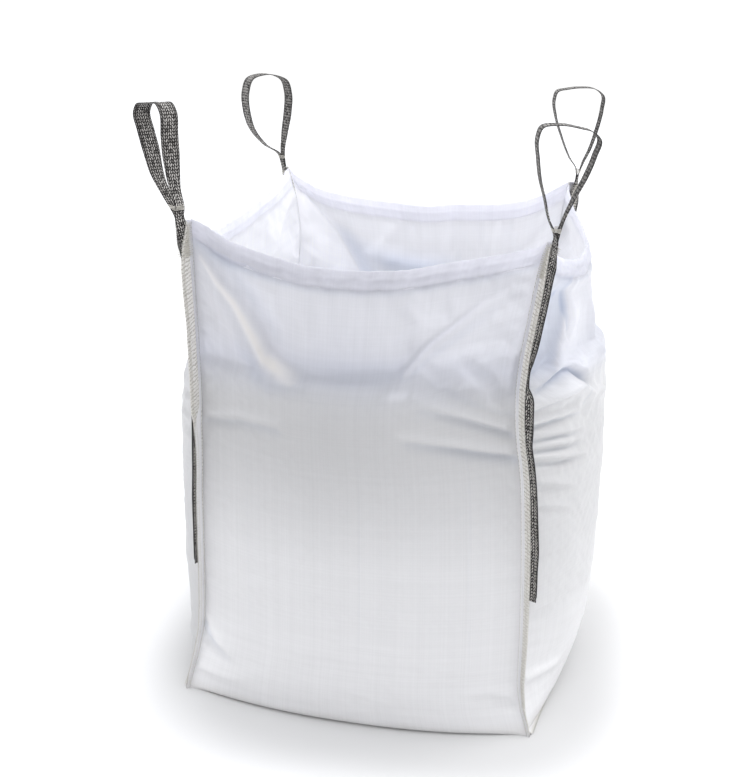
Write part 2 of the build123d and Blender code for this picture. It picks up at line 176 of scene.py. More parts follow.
# z, distance of the middle of the wall from the centre
REACH = {
    "right": curve(
        0,.502, .03,.522, .08,.544, .15,.560, .25,.571, .45,.575, .6,.572, .72,.569, .84,.553,
        .90,.543, .95,.531, 1.02,.515, 1.09,.492, 1.16,.466, 1.25,.424),
    "left": curve(
        0,.512, .06,.530, .15,.552, .3,.568, .45,.571, .6,.571, .72,.562, .84,.532, .95,.486,
        1.06,.446, 1.16,.428, 1.25,.420),
    "front": curve(
        0,.508, .03,.513, .15,.518, .3,.516, .45,.512, .6,.503, .72,.492, .84,.476, .95,.450,
        1.06,.436, 1.16,.428, 1.25,.420),
    "rear": curve(
        0,.508, .03,.513, .15,.518, .3,.516, .45,.512, .6,.503, .72,.492, .84,.474, .95,.444,
        1.06,.424, 1.16,.422, 1.25,.420),
}
# across, height of the rim
RIM = {
    "front": curve(
        -1,1.252, -.95,1.243, -.82,1.215, -.70,1.196, -.57,1.183, -.43,1.171, -.32,1.163,
        -.05,1.160, .2,1.166, .5,1.192, .7,1.209, .85,1.224, .95,1.235, 1,1.25),
    "rear": curve(
        -1,1.25, -.93,1.230, -.82,1.205, -.65,1.180, -.48,1.168, -.2,1.160, 0,1.150,
        .35,1.160, .52,1.167, .68,1.178, .8,1.192, .87,1.208, .95,1.228, 1,1.25),
    "left": curve(
        -1,1.25, -.9,1.236, -.7,1.212, -.35,1.185, 0,1.172, .35,1.176, .62,1.192, .85,1.224,
        1,1.252),
    "right": curve(
        -1,1.25, -.9,1.222, -.7,1.185, -.4,1.160, 0,1.150, .4,1.160, .7,1.190, .9,1.225, 1,1.25),
}
# z, plan angle of the fin in degrees
FIN_ANGLE = {
    "FR": curve(0,322, .2,327, .5,329, .9,329, 1.1,324, 1.25,315),
    "FL": curve(0,232, .12,240, .3,247, .9,248, 1.1,242, 1.25,225),
    "RR": curve(0,45, 1.25,45),
    "RL": curve(0,135, 1.25,135),
}
FIN_TURN = {"FR": -1, "FL": 1, "RR": 1, "RL": -1}  # side of the fin that the U-panel is on
FIN_SEED = {"FR": 3, "FL": 5, "RR": 8, "RL": 9}
# z, width of the fin's felt from the corner line
FELT_END = {
    "FR": curve(
        0,.009, .05,.015, .12,.021, .3,.026, 1.15,.027, 1.21,.021, 1.25,.012),
    "FL": curve(
        0,.010, .05,.016, .14,.020, .3,.023, .66,.025, .745,.030, .79,.039, 1.12,.039,
        1.18,.030, 1.22,.018, 1.25,.012),
    "RR": curve(0,.012, .12,.027, 1.25,.030),
    "RL": curve(0,.012, .12,.027, 1.25,.030),
}


def corner_xy(corner, z):
    distance = CORNER[corner](z)
    return np.stack([SIGN[corner][0] * distance, SIGN[corner][1] * distance], -1)


def fin_axes(corner, z):
    """Outward direction in the fin's plane and the direction its U-panel face looks."""
    angle = np.radians(FIN_ANGLE[corner](z))
    outward = np.stack([np.cos(angle), np.sin(angle), 0 * angle], -1)
    facing = np.stack([-outward[..., 1], outward[..., 0], 0 * angle], -1) * FIN_TURN[corner]
    return outward, facing


def fin_point(corner, z, out, face):
    """Point of a fin at height z: out from the corner line, and face towards the U-panel's side."""
    z = np.asarray(z, float)
    outward, facing = fin_axes(corner, z)
    out = np.asarray(out, float) + 0 * z
    seed = FIN_SEED[corner]
    # waviness along the fin, strongest at its outer edge
    wave = 0.0022 * noise(z * 9.0, 0 * z + seed, seed)
    wave = wave + 0.0011 * noise(z * 24.0, 0 * z + seed, seed + 1)
    face = np.asarray(face, float) + 0 * z + wave * (out / 0.04)
    line = np.concatenate([corner_xy(corner, z), z[..., None]], -1)
    return line + outward * out[..., None] + facing * face[..., None]


# ------------------------------------------------------------------ folds of the walls


def stroke(across, z, points, heights, above, below=None, sharp=False):
    """A fold along a polyline of across,z pairs. Its height, and its reach `above` (left of the
    direction of travel) and `below`, may be lists spread evenly along it."""
    x = across * HALF_SPAN
    ends = np.reshape(points, (-1, 2)) * [HALF_SPAN, 1]
    lengths = np.hypot(*np.diff(ends, axis=0).T)
    starts = np.concatenate([[0], np.cumsum(lengths)])
    nearest, along, side = np.full(x.shape, 1e9), np.zeros(x.shape), np.ones(x.shape)
    for i, length in enumerate(lengths):
        from_x, from_z = x - ends[i][0], z - ends[i][1]
        run_x, run_z = ends[i + 1] - ends[i]
        share = np.clip((from_x * run_x + from_z * run_z) / length**2, 0, 1)
        distance = np.hypot(from_x - share * run_x, from_z - share * run_z)
        closer = distance < nearest
        nearest = np.where(closer, distance, nearest)
        along = np.where(closer, (starts[i] + share * length) / starts[-1], along)
        side = np.where(closer, np.sign(run_x * from_z - run_z * from_x), side)

    def spread(values):
        return np.interp(along, np.linspace(0, 1, np.size(values)), np.atleast_1d(values))

    reach = np.where(side > 0, spread(above), spread(above if below is None else below))
    ratio = nearest / reach
    fall = np.exp(-ratio) * (1 + ratio) ** 0.5 if sharp else np.exp(-ratio * ratio)
    return spread(heights) * fall


def strokes(across, z, rows):
    """Sum of strokes; a row is points, heights, above, and optionally below and sharp."""
    return sum(stroke(across, z, *row) for row in rows)


def seam_line(end, seam_z, tip_z, tip, middle=.8, lifts=(0, 0, 0)):
    """Points of a line that runs in from the seam at across = end, which is -1 or 1."""
    return [end, seam_z + lifts[0], end * middle, (seam_z + tip_z) / 2 + lifts[1],
            end * tip, tip_z + lifts[2]]


def seam_ridges(ends, rows, middle, *reach):
    """Wrinkles from the seams; a row is seam z, tip z, tip across, height."""
    return [(seam_line(end, seam_z, tip_z, tip, middle), [height * .7, height, 0], *reach)
            for end in ends for seam_z, tip_z, tip, height in rows]


# Wrinkles that radiate from the front seam of the right wall:
# seam z, tip z, tip across (from the middle), height, tone (strength of the painted light and shade
# along the wrinkle)
RIGHT_WRINKLES = [
    (.825, .86, .55, .006, .07), (.790, .795, .50, .008, .10), (.762, .742, .52, .007, .09),
    (.738, .712, .50, .007, .08), (.715, .672, .46, .007, .06), (.66, .60, .58, .004, 0),
    (.60, .545, .62, .003, 0), (.905, .955, .66, .006, 0), (.96, 1.03, .70, .006, 0),
    (1.02, 1.08, .70, .005, 0), (1.08, 1.13, .72, .004, 0),
]
WRINKLE_GROOVE_LIFTS = (-.016, -.012, -.012)

SIDE_FLOOR_RIDGES = [
    ([-.98,.13, -.80,.12, -.55,.10], [.006, .005, 0], .014),
    ([.98,.12, .80,.11, .55,.09], [.006, .005, 0], .014),
]
RIDGES = {
    "front": [
        # long tension fold from the left corner
        ([-.97,1.171, -.84,1.104, -.74,1.057, -.65,.992, -.56,.924, -.46,.903, -.34,.886],
         [.004, .009, .012, .014, .017, .013, .002],
         [.016, .016, .018, .020], [.022, .034, .046, .050]),
        # sharp crease from the right corner
        ([.90,1.155, .82,1.131, .73,1.107, .6,1.05, .47,1.001, .37,.953, .31,.921],
         [.001, .004, .007, .008, .008, .006, .002], [.030, .034], .012, True),
        ([.27,.873, .34,.879], .005, .012),
        ([.66,.955, .72,.927, .82,.892, .9,.846],
         [.002, .008, .010, .004], [.026, .020], [.012, .014]),
        # bands where the taut cloth below meets the slack cloth
        ([-1.0,.772, -.7,.793, -.49,.79, -.34,.782], [.006, .006, .004, 0], .020, .009),
        ([.36,.872, .43,.869, .64,.838, .95,.797], [0, .005, .008, .006], .020, .010),
        ([.30,.780, .37,.775, .64,.762, .96,.735], [0, .004, .006, .006], .018, .007),
        ([.50,.565, .70,.592, .88,.621], [0, .003, .002], .012),
        ([-.95,.688, -.70,.676, -.45,.672], [.002, .0025, 0], .014),
        ([-.95,.60, -.62,.61], [.002, 0], .014),
        # ear and puckers at the floor corners
        ([-.99,.176, -.86,.150, -.74,.128], [.007, .007, 0], .020, .012),
        ([-.98,.07, -.80,.065, -.60,.075], [.005, .004, 0], .012),
        ([.98,.10, .84,.115, .66,.105], [.005, .004, 0], .014),
    ],
    "right": [
        # facet near the front corner
        ([-.53,1.08, -.58,1.00, -.70,.918, -.80,.893], [.004, .010, .013, .004], .055, .014),
        ([-.95,.842, -.75,.856, -.60,.862, -.46,.828, -.28,.790],
         [.006, .012, .013, .010, 0], .010, .032),
        ([-.20,1.10, -.18,1.00, -.14,.90], [.003, .010, .004], .024, .018),
        ([-.34,.82, -.28,.809, -.10,.80], [.004, .007, 0], .014),
        *[(seam_line(-1, seam_z, tip_z, tip, lifts=(0, .004, 0)),
           [height * .7, height, 0], .010, .007)
          for seam_z, tip_z, tip, height, _ in RIGHT_WRINKLES],
        # folds from the rear corner
        ([.98,1.12, .70,1.00, .45,.92], [.006, .012, .002], .020, .030),
        ([1.0,.90, .70,.845, .35,.835], [.006, .009, 0], .016, .012),
        *seam_ridges([1], [(.80, .77, .55, .006), (.745, .72, .5, .006), (.69, .64, .6, .004),
                           (.60, .56, .6, .003)], .8, .011, .008),
        *SIDE_FLOOR_RIDGES,
    ],
    "left": [
        # folds from the upper corners
        ([-.96,1.15, -.70,1.02, -.42,.90], [.005, .013, .003], .018, .036),
        ([.96,1.15, .66,1.00, .46,.92], [.005, .014, .003], .036, .016),
        ([-.96,.835, -.60,.81, -.25,.79], [.006, .010, 0], .020),
        ([.96,.82, .66,.80, .30,.815], [.006, .009, 0], .020),
        *seam_ridges([-1, 1], [(.785, .76, .55, .006), (.74, .70, .5, .006),
                               (.69, .65, .58, .004), (.62, .57, .6, .003),
                               (.90, .95, .66, .005), (.97, 1.03, .7, .005)], .8, .010),
        # long diagonal on the rear half
        ([-.55,1.19, -.30,1.10, -.05,1.0], [.003, .007, .002], .018, .030),
        *SIDE_FLOOR_RIDGES,
    ],
    "rear": [
        # sharp crease from the left corner of the bag
        ([.99,1.235, .9,1.16, .8,1.107, .72,1.062, .64,1.005, .56,.953, .50,.90],
         [.003, .012, .020, .026, .028, .022, .006], [.050, .070], [.018, .022], True),
        ([-.96,1.15, -.75,1.04, -.52,.94], [.003, .010, .003], .020, .034),
        *seam_ridges([-1, 1], [(.84, .86, .5, .006), (.785, .78, .5, .006),
                               (.74, .72, .5, .005), (.69, .66, .58, .003)], .75, .012, .009),
        ([-.98,.15, -.80,.14, -.6,.11], [.006, .005, 0], .016),
        ([.98,.14, .80,.13, .6,.10], [.006, .005, 0], .016),
    ],
}
GROOVES = {
    "front": [
        ([-.82,1.16, -.61,1.077, -.49,.941], [.003, .008, .006], [.022, .03]),
        # under the bands
        ([-1.0,.752, -.7,.771, -.49,.768], [.003, .003, 0], .008, .016),
        ([.50,.838, .71,.82, .97,.775], [0, .006, .006], .008, .012),
        ([.40,.760, .66,.745, .98,.718], [0, .005, .005], .006, .014),
        # floor corners
        ([-.97,.125, -.84,.108, -.70,.100], [.006, .005, 0], .014),
        ([.98,.065, .80,.072], [.004, 0], .012),
    ],
    "right": [
        # pucker beneath the facet
        ([-.88,.868, -.79,.884, -.66,.901, -.58,.897, -.49,.866, -.40,.838],
         [.003, .012, .016, .016, .011, .002], .011, .016),
        ([-.58,1.095, -.565,1.045, -.555,.995], [.002, .009, .006], .009, .014),
        *[(seam_line(-1, seam_z, tip_z, tip, lifts=WRINKLE_GROOVE_LIFTS),
           [height * .5, height * .6, 0], .007)
          for seam_z, tip_z, tip, height, _ in RIGHT_WRINKLES],
        # sag line under the rim
        ([-.85,1.125, -.45,1.085, .1,1.07, .6,1.09], [.007, .009, .007, 0], .018, .026),
        ([1.0,.86, .70,.812, .40,.805], [.004, .006, 0], .012),
    ],
    "left": [
        ([-.96,.87, -.60,.85, -.20,.82], [.005, .010, 0], .014),
        ([.96,.86, .62,.84, .30,.86], [.005, .010, 0], .014),
    ],
    "rear": [([.52,1.02, .30,.99, .04,.975, -.20,.985], [.004, .014, .014, .004], .030, .026)],
}

# Overall relief of each wall.
# step: depth, rise start and end, slant, fall start and end of the step in above the fill
# slack: z where the cloth goes from filled to slack
# edge: z and width of extra crumpling at the fill line
# wave, crumple: slack cloth; height, x scale, (crumple: x shift,) z scale, (crumple: octaves)
# full_wave, full_crumple: filled cloth; height, (crumple: x scale,) z scale
# pucker: width along the seams, then height and z scale of the fine and the coarse puckers
BODY_PUCKER = (.035, .0016, 62, .0014, 27)
SIDE_PUCKER = (.05, .0022, 55, .0020, 25)
RELIEF = {
    "front": dict(
        seed=10, depth=1.35, step=(.009, .865, .905, .02, .93, 1.10), slack=(.86, 1.0), edge=None,
        wave=(.0040, 7.5, 5.0), crumple=(.0016, 16, 0, 11, 2),
        full_wave=(.0022, 9.0), full_crumple=(.0006, 14, 38), pucker=BODY_PUCKER),
    "right": dict(
        seed=20, depth=1.75, step=(.010, .90, .95, -.02, .98, 1.12), slack=(.84, .98),
        edge=(.84, .16), wave=(.0065, 7.0, 6.0), crumple=(.0042, 9, 2, 11, 3),
        full_wave=(.0030, 8.0), full_crumple=(.0009, 12, 26), pucker=SIDE_PUCKER),
    "left": dict(
        seed=40, depth=1.4, step=(.010, .87, .92, .02, .96, 1.10), slack=(.84, .98),
        edge=(.83, .15), wave=(.0055, 7.0, 6.0), crumple=(.0034, 9, 7, 11, 3),
        full_wave=(.0028, 8.0), full_crumple=(.0009, 12, 26), pucker=SIDE_PUCKER),
    "rear": dict(
        seed=50, depth=1.3, step=(.008, .87, .91, -.02, .95, 1.10), slack=(.86, 1.0), edge=None,
        wave=(.0045, 7.0, 5.0), crumple=(.0018, 14, 0, 10, 2),
        full_wave=(.0022, 9.0), full_crumple=(.0007, 14, 36), pucker=BODY_PUCKER),
}


def hollow(side, across, z):
    """Depth to which the slack cloth leans or caves in over the fill."""
    if side == "front":
        left = np.interp(z, [.80, .886, .903, .924, .992, 1.057, 1.104, 1.171, 1.25],
                         [-.30, -.34, -.46, -.56, -.65, -.74, -.84, -.97, -1.0])
        right = np.interp(z, [.80, .921, .953, 1.001, 1.05, 1.107, 1.131, 1.25],
                          [.26, .31, .37, .47, .60, .73, .82, 1.0])
        inside = smooth(-.10, .10, across - left) * smooth(-.03, .05, right - across)
        return 0.016 * inside * window(z, .84, .93, 1.0, 1.15)
    if side == "right":
        return 0.020 * bell(across, -.72, .20) * window(z, .88, .96, 1.06, 1.16)
    if side == "left":
        return 0.014 * bell(np.abs(across), .70, .20) * window(z, .86, .96, 1.04, 1.16)
    return 0.0


def relief(side, across, z):
    """Undulation, crumpling and seam puckers of a wall."""
    settings = RELIEF[side]
    seed = settings["seed"]
    x = across * HALF_SPAN
    slack = smooth(*settings["slack"], z)
    crumpled = slack
    if settings["edge"]:
        crumpled = slack * .5 + bell(z, *settings["edge"])
    height, scale_x, scale_z = settings["wave"]
    total = height * slack * fbm(x * scale_x, z * scale_z, seed + 1, 3)
    height, scale_x, shift, scale_z, octaves = settings["crumple"]
    total += height * crumpled * creased(x * scale_x + shift, z * scale_z, seed + 2, octaves)
    height, scale_z = settings["full_wave"]
    total += height * (1 - slack) * fbm(x * 6.0, z * scale_z, seed + 4, 3)
    height, scale_x, scale_z = settings["full_crumple"]
    total += height * (1 - slack) * creased(x * scale_x, z * scale_z, seed + 5, 2)
    width, fine, fine_scale, coarse, coarse_scale = settings["pucker"]
    near = np.exp(-((1 - np.abs(across)) * HALF_SPAN / width) ** 2)
    end = np.sign(across) + 0 * z
    total += fine * near * noise(z * fine_scale + 3 * across, 1.5 * end, seed + 6)
    total += coarse * near * noise(z * coarse_scale, 2.5 * end, seed + 7)
    return total


def folds(side, across, z):
    """Outward relief of a wall before its depth factor."""
    depth, rise_start, rise_end, slant, fall_start, fall_end = RELIEF[side]["step"]
    step = smooth(rise_start, rise_end, z + slant * across) * (1 - smooth(fall_start, fall_end, z))
    return (strokes(across, z, RIDGES[side]) - strokes(across, z, GROOVES[side])
            - hollow(side, across, z) - depth * step + relief(side, across, z))


# height, distance below the rim, width: grooves and swellings of the hem's outer face
HEM_PROFILE = [(-.0026, .043, .005), (.0024, .030, .008), (-.0020, .019, .004), (.0022, .008, .007)]


def hem_profile(side, across, z):
    below = RIM[side](across) - z
    shape = sum(height * bell(below, depth, width) for height, depth, width in HEM_PROFILE)
    wobble = noise(across * 17, 0 * across, 71) * 0.0016
    wobble = wobble + noise(across * 41, 0 * across, 72) * 0.0010
    return shape + wobble * bell(below, 0.015, 0.022)


FLOOR_ROUND = 0.016  # radius where a wall meets the floor


def wall(side, across, seam_z):
    """Point of a wall; seam_z is its height measured along the corner seams."""
    across, seam_z = np.asarray(across, float), np.asarray(seam_z, float)
    first, last, out = WALLS[side]
    share = ((across + 1) / 2)[..., None]
    xy = corner_xy(first, seam_z) * (1 - share) + corner_xy(last, seam_z) * share
    rim = RIM[side](across)
    z = seam_z - (HEIGHT - rim) * smooth(.45, 1.12, seam_z)
    corner_reach = ((corner_xy(first, z) * out[:2]).sum(-1)
                    + (corner_xy(last, z) * out[:2]).sum(-1)) / 2
    swell = np.maximum(REACH[side](z) - corner_reach, 0)
    offset = swell * (1 - np.abs(across) ** 2.3)
    near_seam = smooth(0, .05, 1 - np.abs(across))
    fade = near_seam * smooth(0.0, .05, z) * (1 - .75 * smooth(-.05, 0.0, z - rim))
    offset = offset + folds(side, across, z) * fade * RELIEF[side]["depth"]
    drop = np.clip(FLOOR_ROUND - z, 0, FLOOR_ROUND)
    tuck = FLOOR_ROUND - np.sqrt(np.maximum(FLOOR_ROUND * FLOOR_ROUND - drop * drop, 0))
    offset = offset - tuck * (1 - np.abs(across) ** 6)
    point = np.concatenate([xy + offset[..., None] * out[:2], z[..., None]], -1)
    return point + out * (hem_profile(side, across, z) * near_seam)[..., None]


# ------------------------------------------------------------------ mesh helpers


def mesh_object(name, verts, faces, uvs=None, tone=None):
    mesh = bpy.data.meshes.new(name)
    verts = np.asarray(verts, float)
    mesh.from_pydata(verts.tolist(), [], faces)
    mesh.polygons.foreach_set("use_smooth", np.ones(len(mesh.polygons), bool))
    if uvs is not None:
        layer = mesh.uv_layers.new(name="UVMap")
        index = np.zeros(len(mesh.loops), np.int32)
        mesh.loops.foreach_get("vertex_index", index)
        layer.data.foreach_set("uv", np.asarray(uvs, np.float32)[index].ravel())
    # painted light and shade of the cloth, kept as a colour attribute
    if tone is not None:
        layer = mesh.attributes.new("PaintedTone", "FLOAT_COLOR", "POINT")
        colors = np.ones((len(verts), 4), np.float32)
        colors[:, :3] = tone
        layer.data.foreach_set("color", colors.ravel())
    mesh.update()
    built = bpy.data.objects.new(name, mesh)
    bpy.context.scene.collection.objects.link(built)
    return built


def grid_faces(rows, cols, closed=False):
    i, j = np.meshgrid(np.arange(rows - 1), np.arange(cols if closed else cols - 1), indexing="ij")
    following = (j + 1) % cols
    corners = [i * cols + j, i * cols + following, (i + 1) * cols + following, (i + 1) * cols + j]
    return np.stack(corners, -1).reshape(-1, 4)


def fan(ring):
    """Triangles from the first vertex of a ring."""
    return np.array([[ring[0], ring[i], ring[i + 1]] for i in range(1, len(ring) - 1)])


class Parts:
    """Collects several grids, straps and stitches into one mesh."""

    def __init__(self):
        self.verts, self.faces, self.uvs, self.tones, self.count = [], [], [], [], 0

    def put(self, verts, faces, uvs, tone=None):
        """Adds vertices and their faces, and gives the index of the first vertex."""
        start = self.count
        verts = np.asarray(verts, float).reshape(-1, 3)
        self.verts.append(verts)
        self.tones.append(np.zeros((len(verts), 3)) if tone is None else tone.reshape(-1, 3))
        self.faces.append(faces + start)
        self.uvs.append(np.asarray(uvs, float).reshape(-1, 2))
        self.count += len(verts)
        return start

    def grid(self, points, uvs, flip=False, tone=None):
        faces = grid_faces(*points.shape[:2])
        self.put(points, faces[:, ::-1] if flip else faces, uvs, tone)

    def object(self, name, painted_toned=False):
        faces = [face for group in self.faces for face in group.tolist()]
        tone = np.concatenate(self.tones) if painted_toned else None
        return mesh_object(name, np.concatenate(self.verts), faces, np.concatenate(self.uvs), tone)


def unit(vectors):
    return vectors / np.linalg.norm(vectors, axis=-1, keepdims=True)


def lengths_along(points):
    steps = np.linalg.norm(np.diff(points, axis=0), axis=1)
    return np.concatenate([[0], np.cumsum(steps)])


def strap_section():
    """Columns round a strap: share of the flat half width, edge bulge and height in half
    thicknesses."""
    flat = np.linspace(-1, 1, 7)

    def edge(end, degrees):
        angles = [math.radians(degree) for degree in degrees]
        return [(end, math.cos(angle) * 0.9, math.sin(angle)) for angle in angles]

    return np.array([(share, 0, -1) for share in flat] + edge(1, (-45, 0, 45))
                    + [(share, 0, 1) for share in flat[::-1]] + edge(-1, (135, 180, 225)))


def strap(parts, centre, width_dir, width, thick):
    """Flat strap with rounded edges along a line of centre points."""
    count = len(centre)
    tangent = unit(np.gradient(centre, axis=0))
    across = width_dir - tangent * (width_dir * tangent).sum(1)[:, None]
    across = unit(across)
    normal = np.cross(tangent, across)
    half_width = (np.asarray(width, float) + np.zeros(count))[:, None] / 2
    half_thick = (np.asarray(thick, float) + np.zeros(count))[:, None] / 2
    share, bulge, height = strap_section().T
    x = share * (half_width - half_thick * 0.5) + half_thick * bulge
    y = height * half_thick
    points = centre[:, None] + across[:, None] * x[..., None] + normal[:, None] * y[..., None]
    along = np.broadcast_to(lengths_along(centre)[:, None], x.shape)
    cols = len(share)
    start = parts.put(points, grid_faces(count, cols, closed=True), np.stack([x, along], -1))
    parts.faces.append(fan(start + np.arange(cols)[::-1]))
    parts.faces.append(fan(start + (count - 1) * cols + np.arange(cols)))


STITCH_SIDES = 6
# share of the length, share of the radius, shift along in radii
STITCH_RINGS = [
    (0.0, 0.05, 0.0), (0.0, 0.75, 0.3), (0.28, 1.0, 0.0), (0.5, 1.05, 0.0), (0.72, 1.0, 0.0),
    (1.0, 0.75, -0.3), (1.0, 0.05, 0.0),
]


def stitches(parts, starts, ends, radius, lift):
    """Short round-ended thread pieces from starts to ends, bowed along lift."""
    count, rows = len(starts), len(STITCH_RINGS)
    run = ends - starts
    length = np.linalg.norm(run, axis=1)[:, None]
    along = run / length
    helper = np.where(np.abs(along[:, 2:3]) < 0.9, np.array([[0, 0, 1.0]]), np.array([[1.0, 0, 0]]))
    x_axis = unit(np.cross(along, helper))
    y_axis = np.cross(along, x_axis)
    points = np.zeros((count, rows, STITCH_SIDES, 3))
    uvs = np.zeros((count, rows, STITCH_SIDES, 2))
    bow = np.asarray(lift, float).reshape(-1, 3) + np.zeros((count, 3))
    for i, (share, size, shift) in enumerate(STITCH_RINGS):
        centre = starts + run * share + along * (radius * shift) + bow * (4 * share * (1 - share))
        for j in range(STITCH_SIDES):
            angle = 2 * math.pi * j / STITCH_SIDES
            spoke = x_axis * math.cos(angle) + y_axis * math.sin(angle)
            points[:, i, j] = centre + spoke * radius * size
            uvs[:, i, j] = np.concatenate([np.full((count, 1), angle * radius), share * length], 1)
    caps = np.array([[0, 5, 4, 3], [0, 3, 2, 1]])
    far_caps = (rows - 1) * STITCH_SIDES + np.array([[0, 1, 2, 3], [0, 3, 4, 5]])
    one = np.concatenate([grid_faces(rows, STITCH_SIDES, closed=True), caps, far_caps])
    first = np.arange(count) * rows * STITCH_SIDES
    parts.put(points, (one[None] + first[:, None, None]).reshape(-1, 4), uvs)


def tube(parts, line, radius, sides=8):
    """Round cord along a line of points with closed ends."""
    count = len(line)
    tangent = unit(np.gradient(line, axis=0))
    x_axes = [unit(np.cross(tangent[0], [0.3, 0.5, 0.8]))]
    for i in range(1, count):
        x_axis = x_axes[-1]
        x_axes.append(unit(x_axis - tangent[i] * (x_axis @ tangent[i])))
    x_axes = np.array(x_axes)
    y_axes = np.cross(tangent, x_axes)
    angle = np.arange(sides) * 2 * math.pi / sides
    cosine, sine = np.cos(angle)[None, :, None], np.sin(angle)[None, :, None]
    points = line[:, None] + (x_axes[:, None] * cosine + y_axes[:, None] * sine) * radius
    uvs = np.stack(np.meshgrid(angle * radius, lengths_along(line)), -1)
    start = parts.put(points, grid_faces(count, sides, closed=True), uvs)
    parts.faces.append(fan(start + np.arange(sides))[:, [0, 2, 1]])
    parts.faces.append(fan(start + (count - 1) * sides + np.arange(sides)))


def spline(points, count):
    """Smooth curve through control points, evenly spaced along its length."""
    station = lengths_along(points)
    gap = np.diff(station)[:, None]
    slope = np.diff(points, axis=0) / gap
    tangent = np.zeros_like(points)
    tangent[0], tangent[-1] = slope[0], slope[-1]
    tangent[1:-1] = (slope[:-1] * gap[1:] + slope[1:] * gap[:-1]) / (gap[:-1] + gap[1:])
    query = np.linspace(0, station[-1], 40 * len(points))
    i = np.clip(np.searchsorted(station, query, side="right") - 1, 0, len(points) - 2)
    t = (query - station[i])[:, None] / gap[i]
    fine = (points[i] * (2 * t**3 - 3 * t**2 + 1) + tangent[i] * gap[i] * (t**3 - 2 * t**2 + t)
            + points[i + 1] * (3 * t**2 - 2 * t**3) + tangent[i + 1] * gap[i] * (t**3 - t**2))
    travelled = lengths_along(fine)
    even = np.linspace(0, travelled[-1], count)
    return np.stack([np.interp(even, travelled, fine[:, k]) for k in range(3)], -1)


# ------------------------------------------------------------------ shader node helpers


class Value:
    """An output socket; arithmetic on it adds math nodes."""

    def __init__(self, net, socket):
        self.net, self.socket = net, socket

    def __abs__(self):
        return self.net.math("ABSOLUTE", self)


for method, operation in (("add", "ADD"), ("sub", "SUBTRACT"), ("mul", "MULTIPLY"),
                          ("truediv", "DIVIDE"), ("mod", "MODULO"), ("pow", "POWER")):
    setattr(Value, f"__{method}__",
            lambda self, other, kind=operation: self.net.math(kind, self, other))
    setattr(Value, f"__r{method}__",
            lambda self, other, kind=operation: self.net.math(kind, other, self))


class Nodes:
    """Builds the node tree of a material or world."""

    def __init__(self, owner):
        self.owner = owner
        owner.use_nodes = True
        self.tree = owner.node_tree
        self.tree.nodes.clear()

    def add(self, kind, values=None, output=0, **props):
        """Adds a node with its inputs set or linked, and gives one of its outputs."""
        node = self.tree.nodes.new(kind)
        for key, value in props.items():
            setattr(node, key, value)
        for key, value in (values or {}).items():
            if isinstance(value, Value):
                self.tree.links.new(value.socket, node.inputs[key])
            else:
                node.inputs[key].default_value = value
        return Value(self, node.outputs[output])

    def math(self, operation, *inputs):
        return self.add("ShaderNodeMath", dict(enumerate(inputs)), operation=operation)

    def sine(self, value):
        return self.math("SINE", value)

    def split(self, vector):
        first = self.add("ShaderNodeSeparateXYZ", {"Vector": vector})
        return [Value(self, socket) for socket in first.socket.node.outputs]

    def uv(self):
        return self.split(self.add("ShaderNodeUVMap", uv_map="UVMap"))[:2]

    def place(self):
        return self.add("ShaderNodeTexCoord", output="Object")

    def vector(self, x, y, z=0.0):
        return self.add("ShaderNodeCombineXYZ", {"X": x, "Y": y, "Z": z})

    def color(self, red, green, blue):
        return self.add("ShaderNodeCombineColor", {"Red": red, "Green": green, "Blue": blue})

    def noise(self, vector, scale, detail, roughness, distortion=0.0):
        return self.add("ShaderNodeTexNoise", {
            "Vector": vector, "Scale": scale, "Detail": detail, "Roughness": roughness,
            "Distortion": distortion})

    def random(self, x, y):
        return self.add("ShaderNodeTexWhiteNoise", {"Vector": self.vector(x, y)},
                        noise_dimensions="2D")

    def ramp(self, factor, *stops):
        """Colour ramp; a stop is a position and a colour."""
        result = self.add("ShaderNodeValToRGB", {"Fac": factor})
        elements = result.socket.node.color_ramp.elements
        while len(elements) < len(stops):
            elements.new(0.5)
        for element, (position, color) in zip(elements, stops):
            element.position = position
            element.color = (*color, 1)
        return result

    def mask(self, factor, low, high):
        """Ramp from black to white."""
        return self.ramp(factor, (low, (0, 0, 0)), (high, (1, 1, 1)))

    def mix(self, factor, first, second, blend="MIX"):
        first, second = (
            color if isinstance(color, Value) else (*color, 1) for color in (first, second))
        return self.add("ShaderNodeMix", {0: factor, 6: first, 7: second},
                        output=2, data_type="RGBA", blend_type=blend)

    def remap(self, value, from_min, from_max, to_min, to_max, **props):
        return self.add("ShaderNodeMapRange", {
            "Value": value, "From Min": from_min, "From Max": from_max, "To Min": to_min,
            "To Max": to_max}, **props)

    def bump(self, height, distance, strength, normal=None):
        values = {"Height": height, "Distance": distance, "Strength": strength}
        if normal is not None:
            values["Normal"] = normal
        return self.add("ShaderNodeBump", values)

    def principled(self, color, roughness, **others):
        """Principled shader; other inputs are named with underscores for spaces."""
        values = {"Base Color": color, "Roughness": roughness}
        values.update({key.replace("_", " "): value for key, value in others.items()})
        return self.add("ShaderNodeBsdfPrincipled", values)

    def finish(self, shader, kind="ShaderNodeOutputMaterial"):
        node = self.tree.nodes.new(kind)
        self.tree.links.new(shader.socket, node.inputs[0])
        return self.owner


# ------------------------------------------------------------------ materials


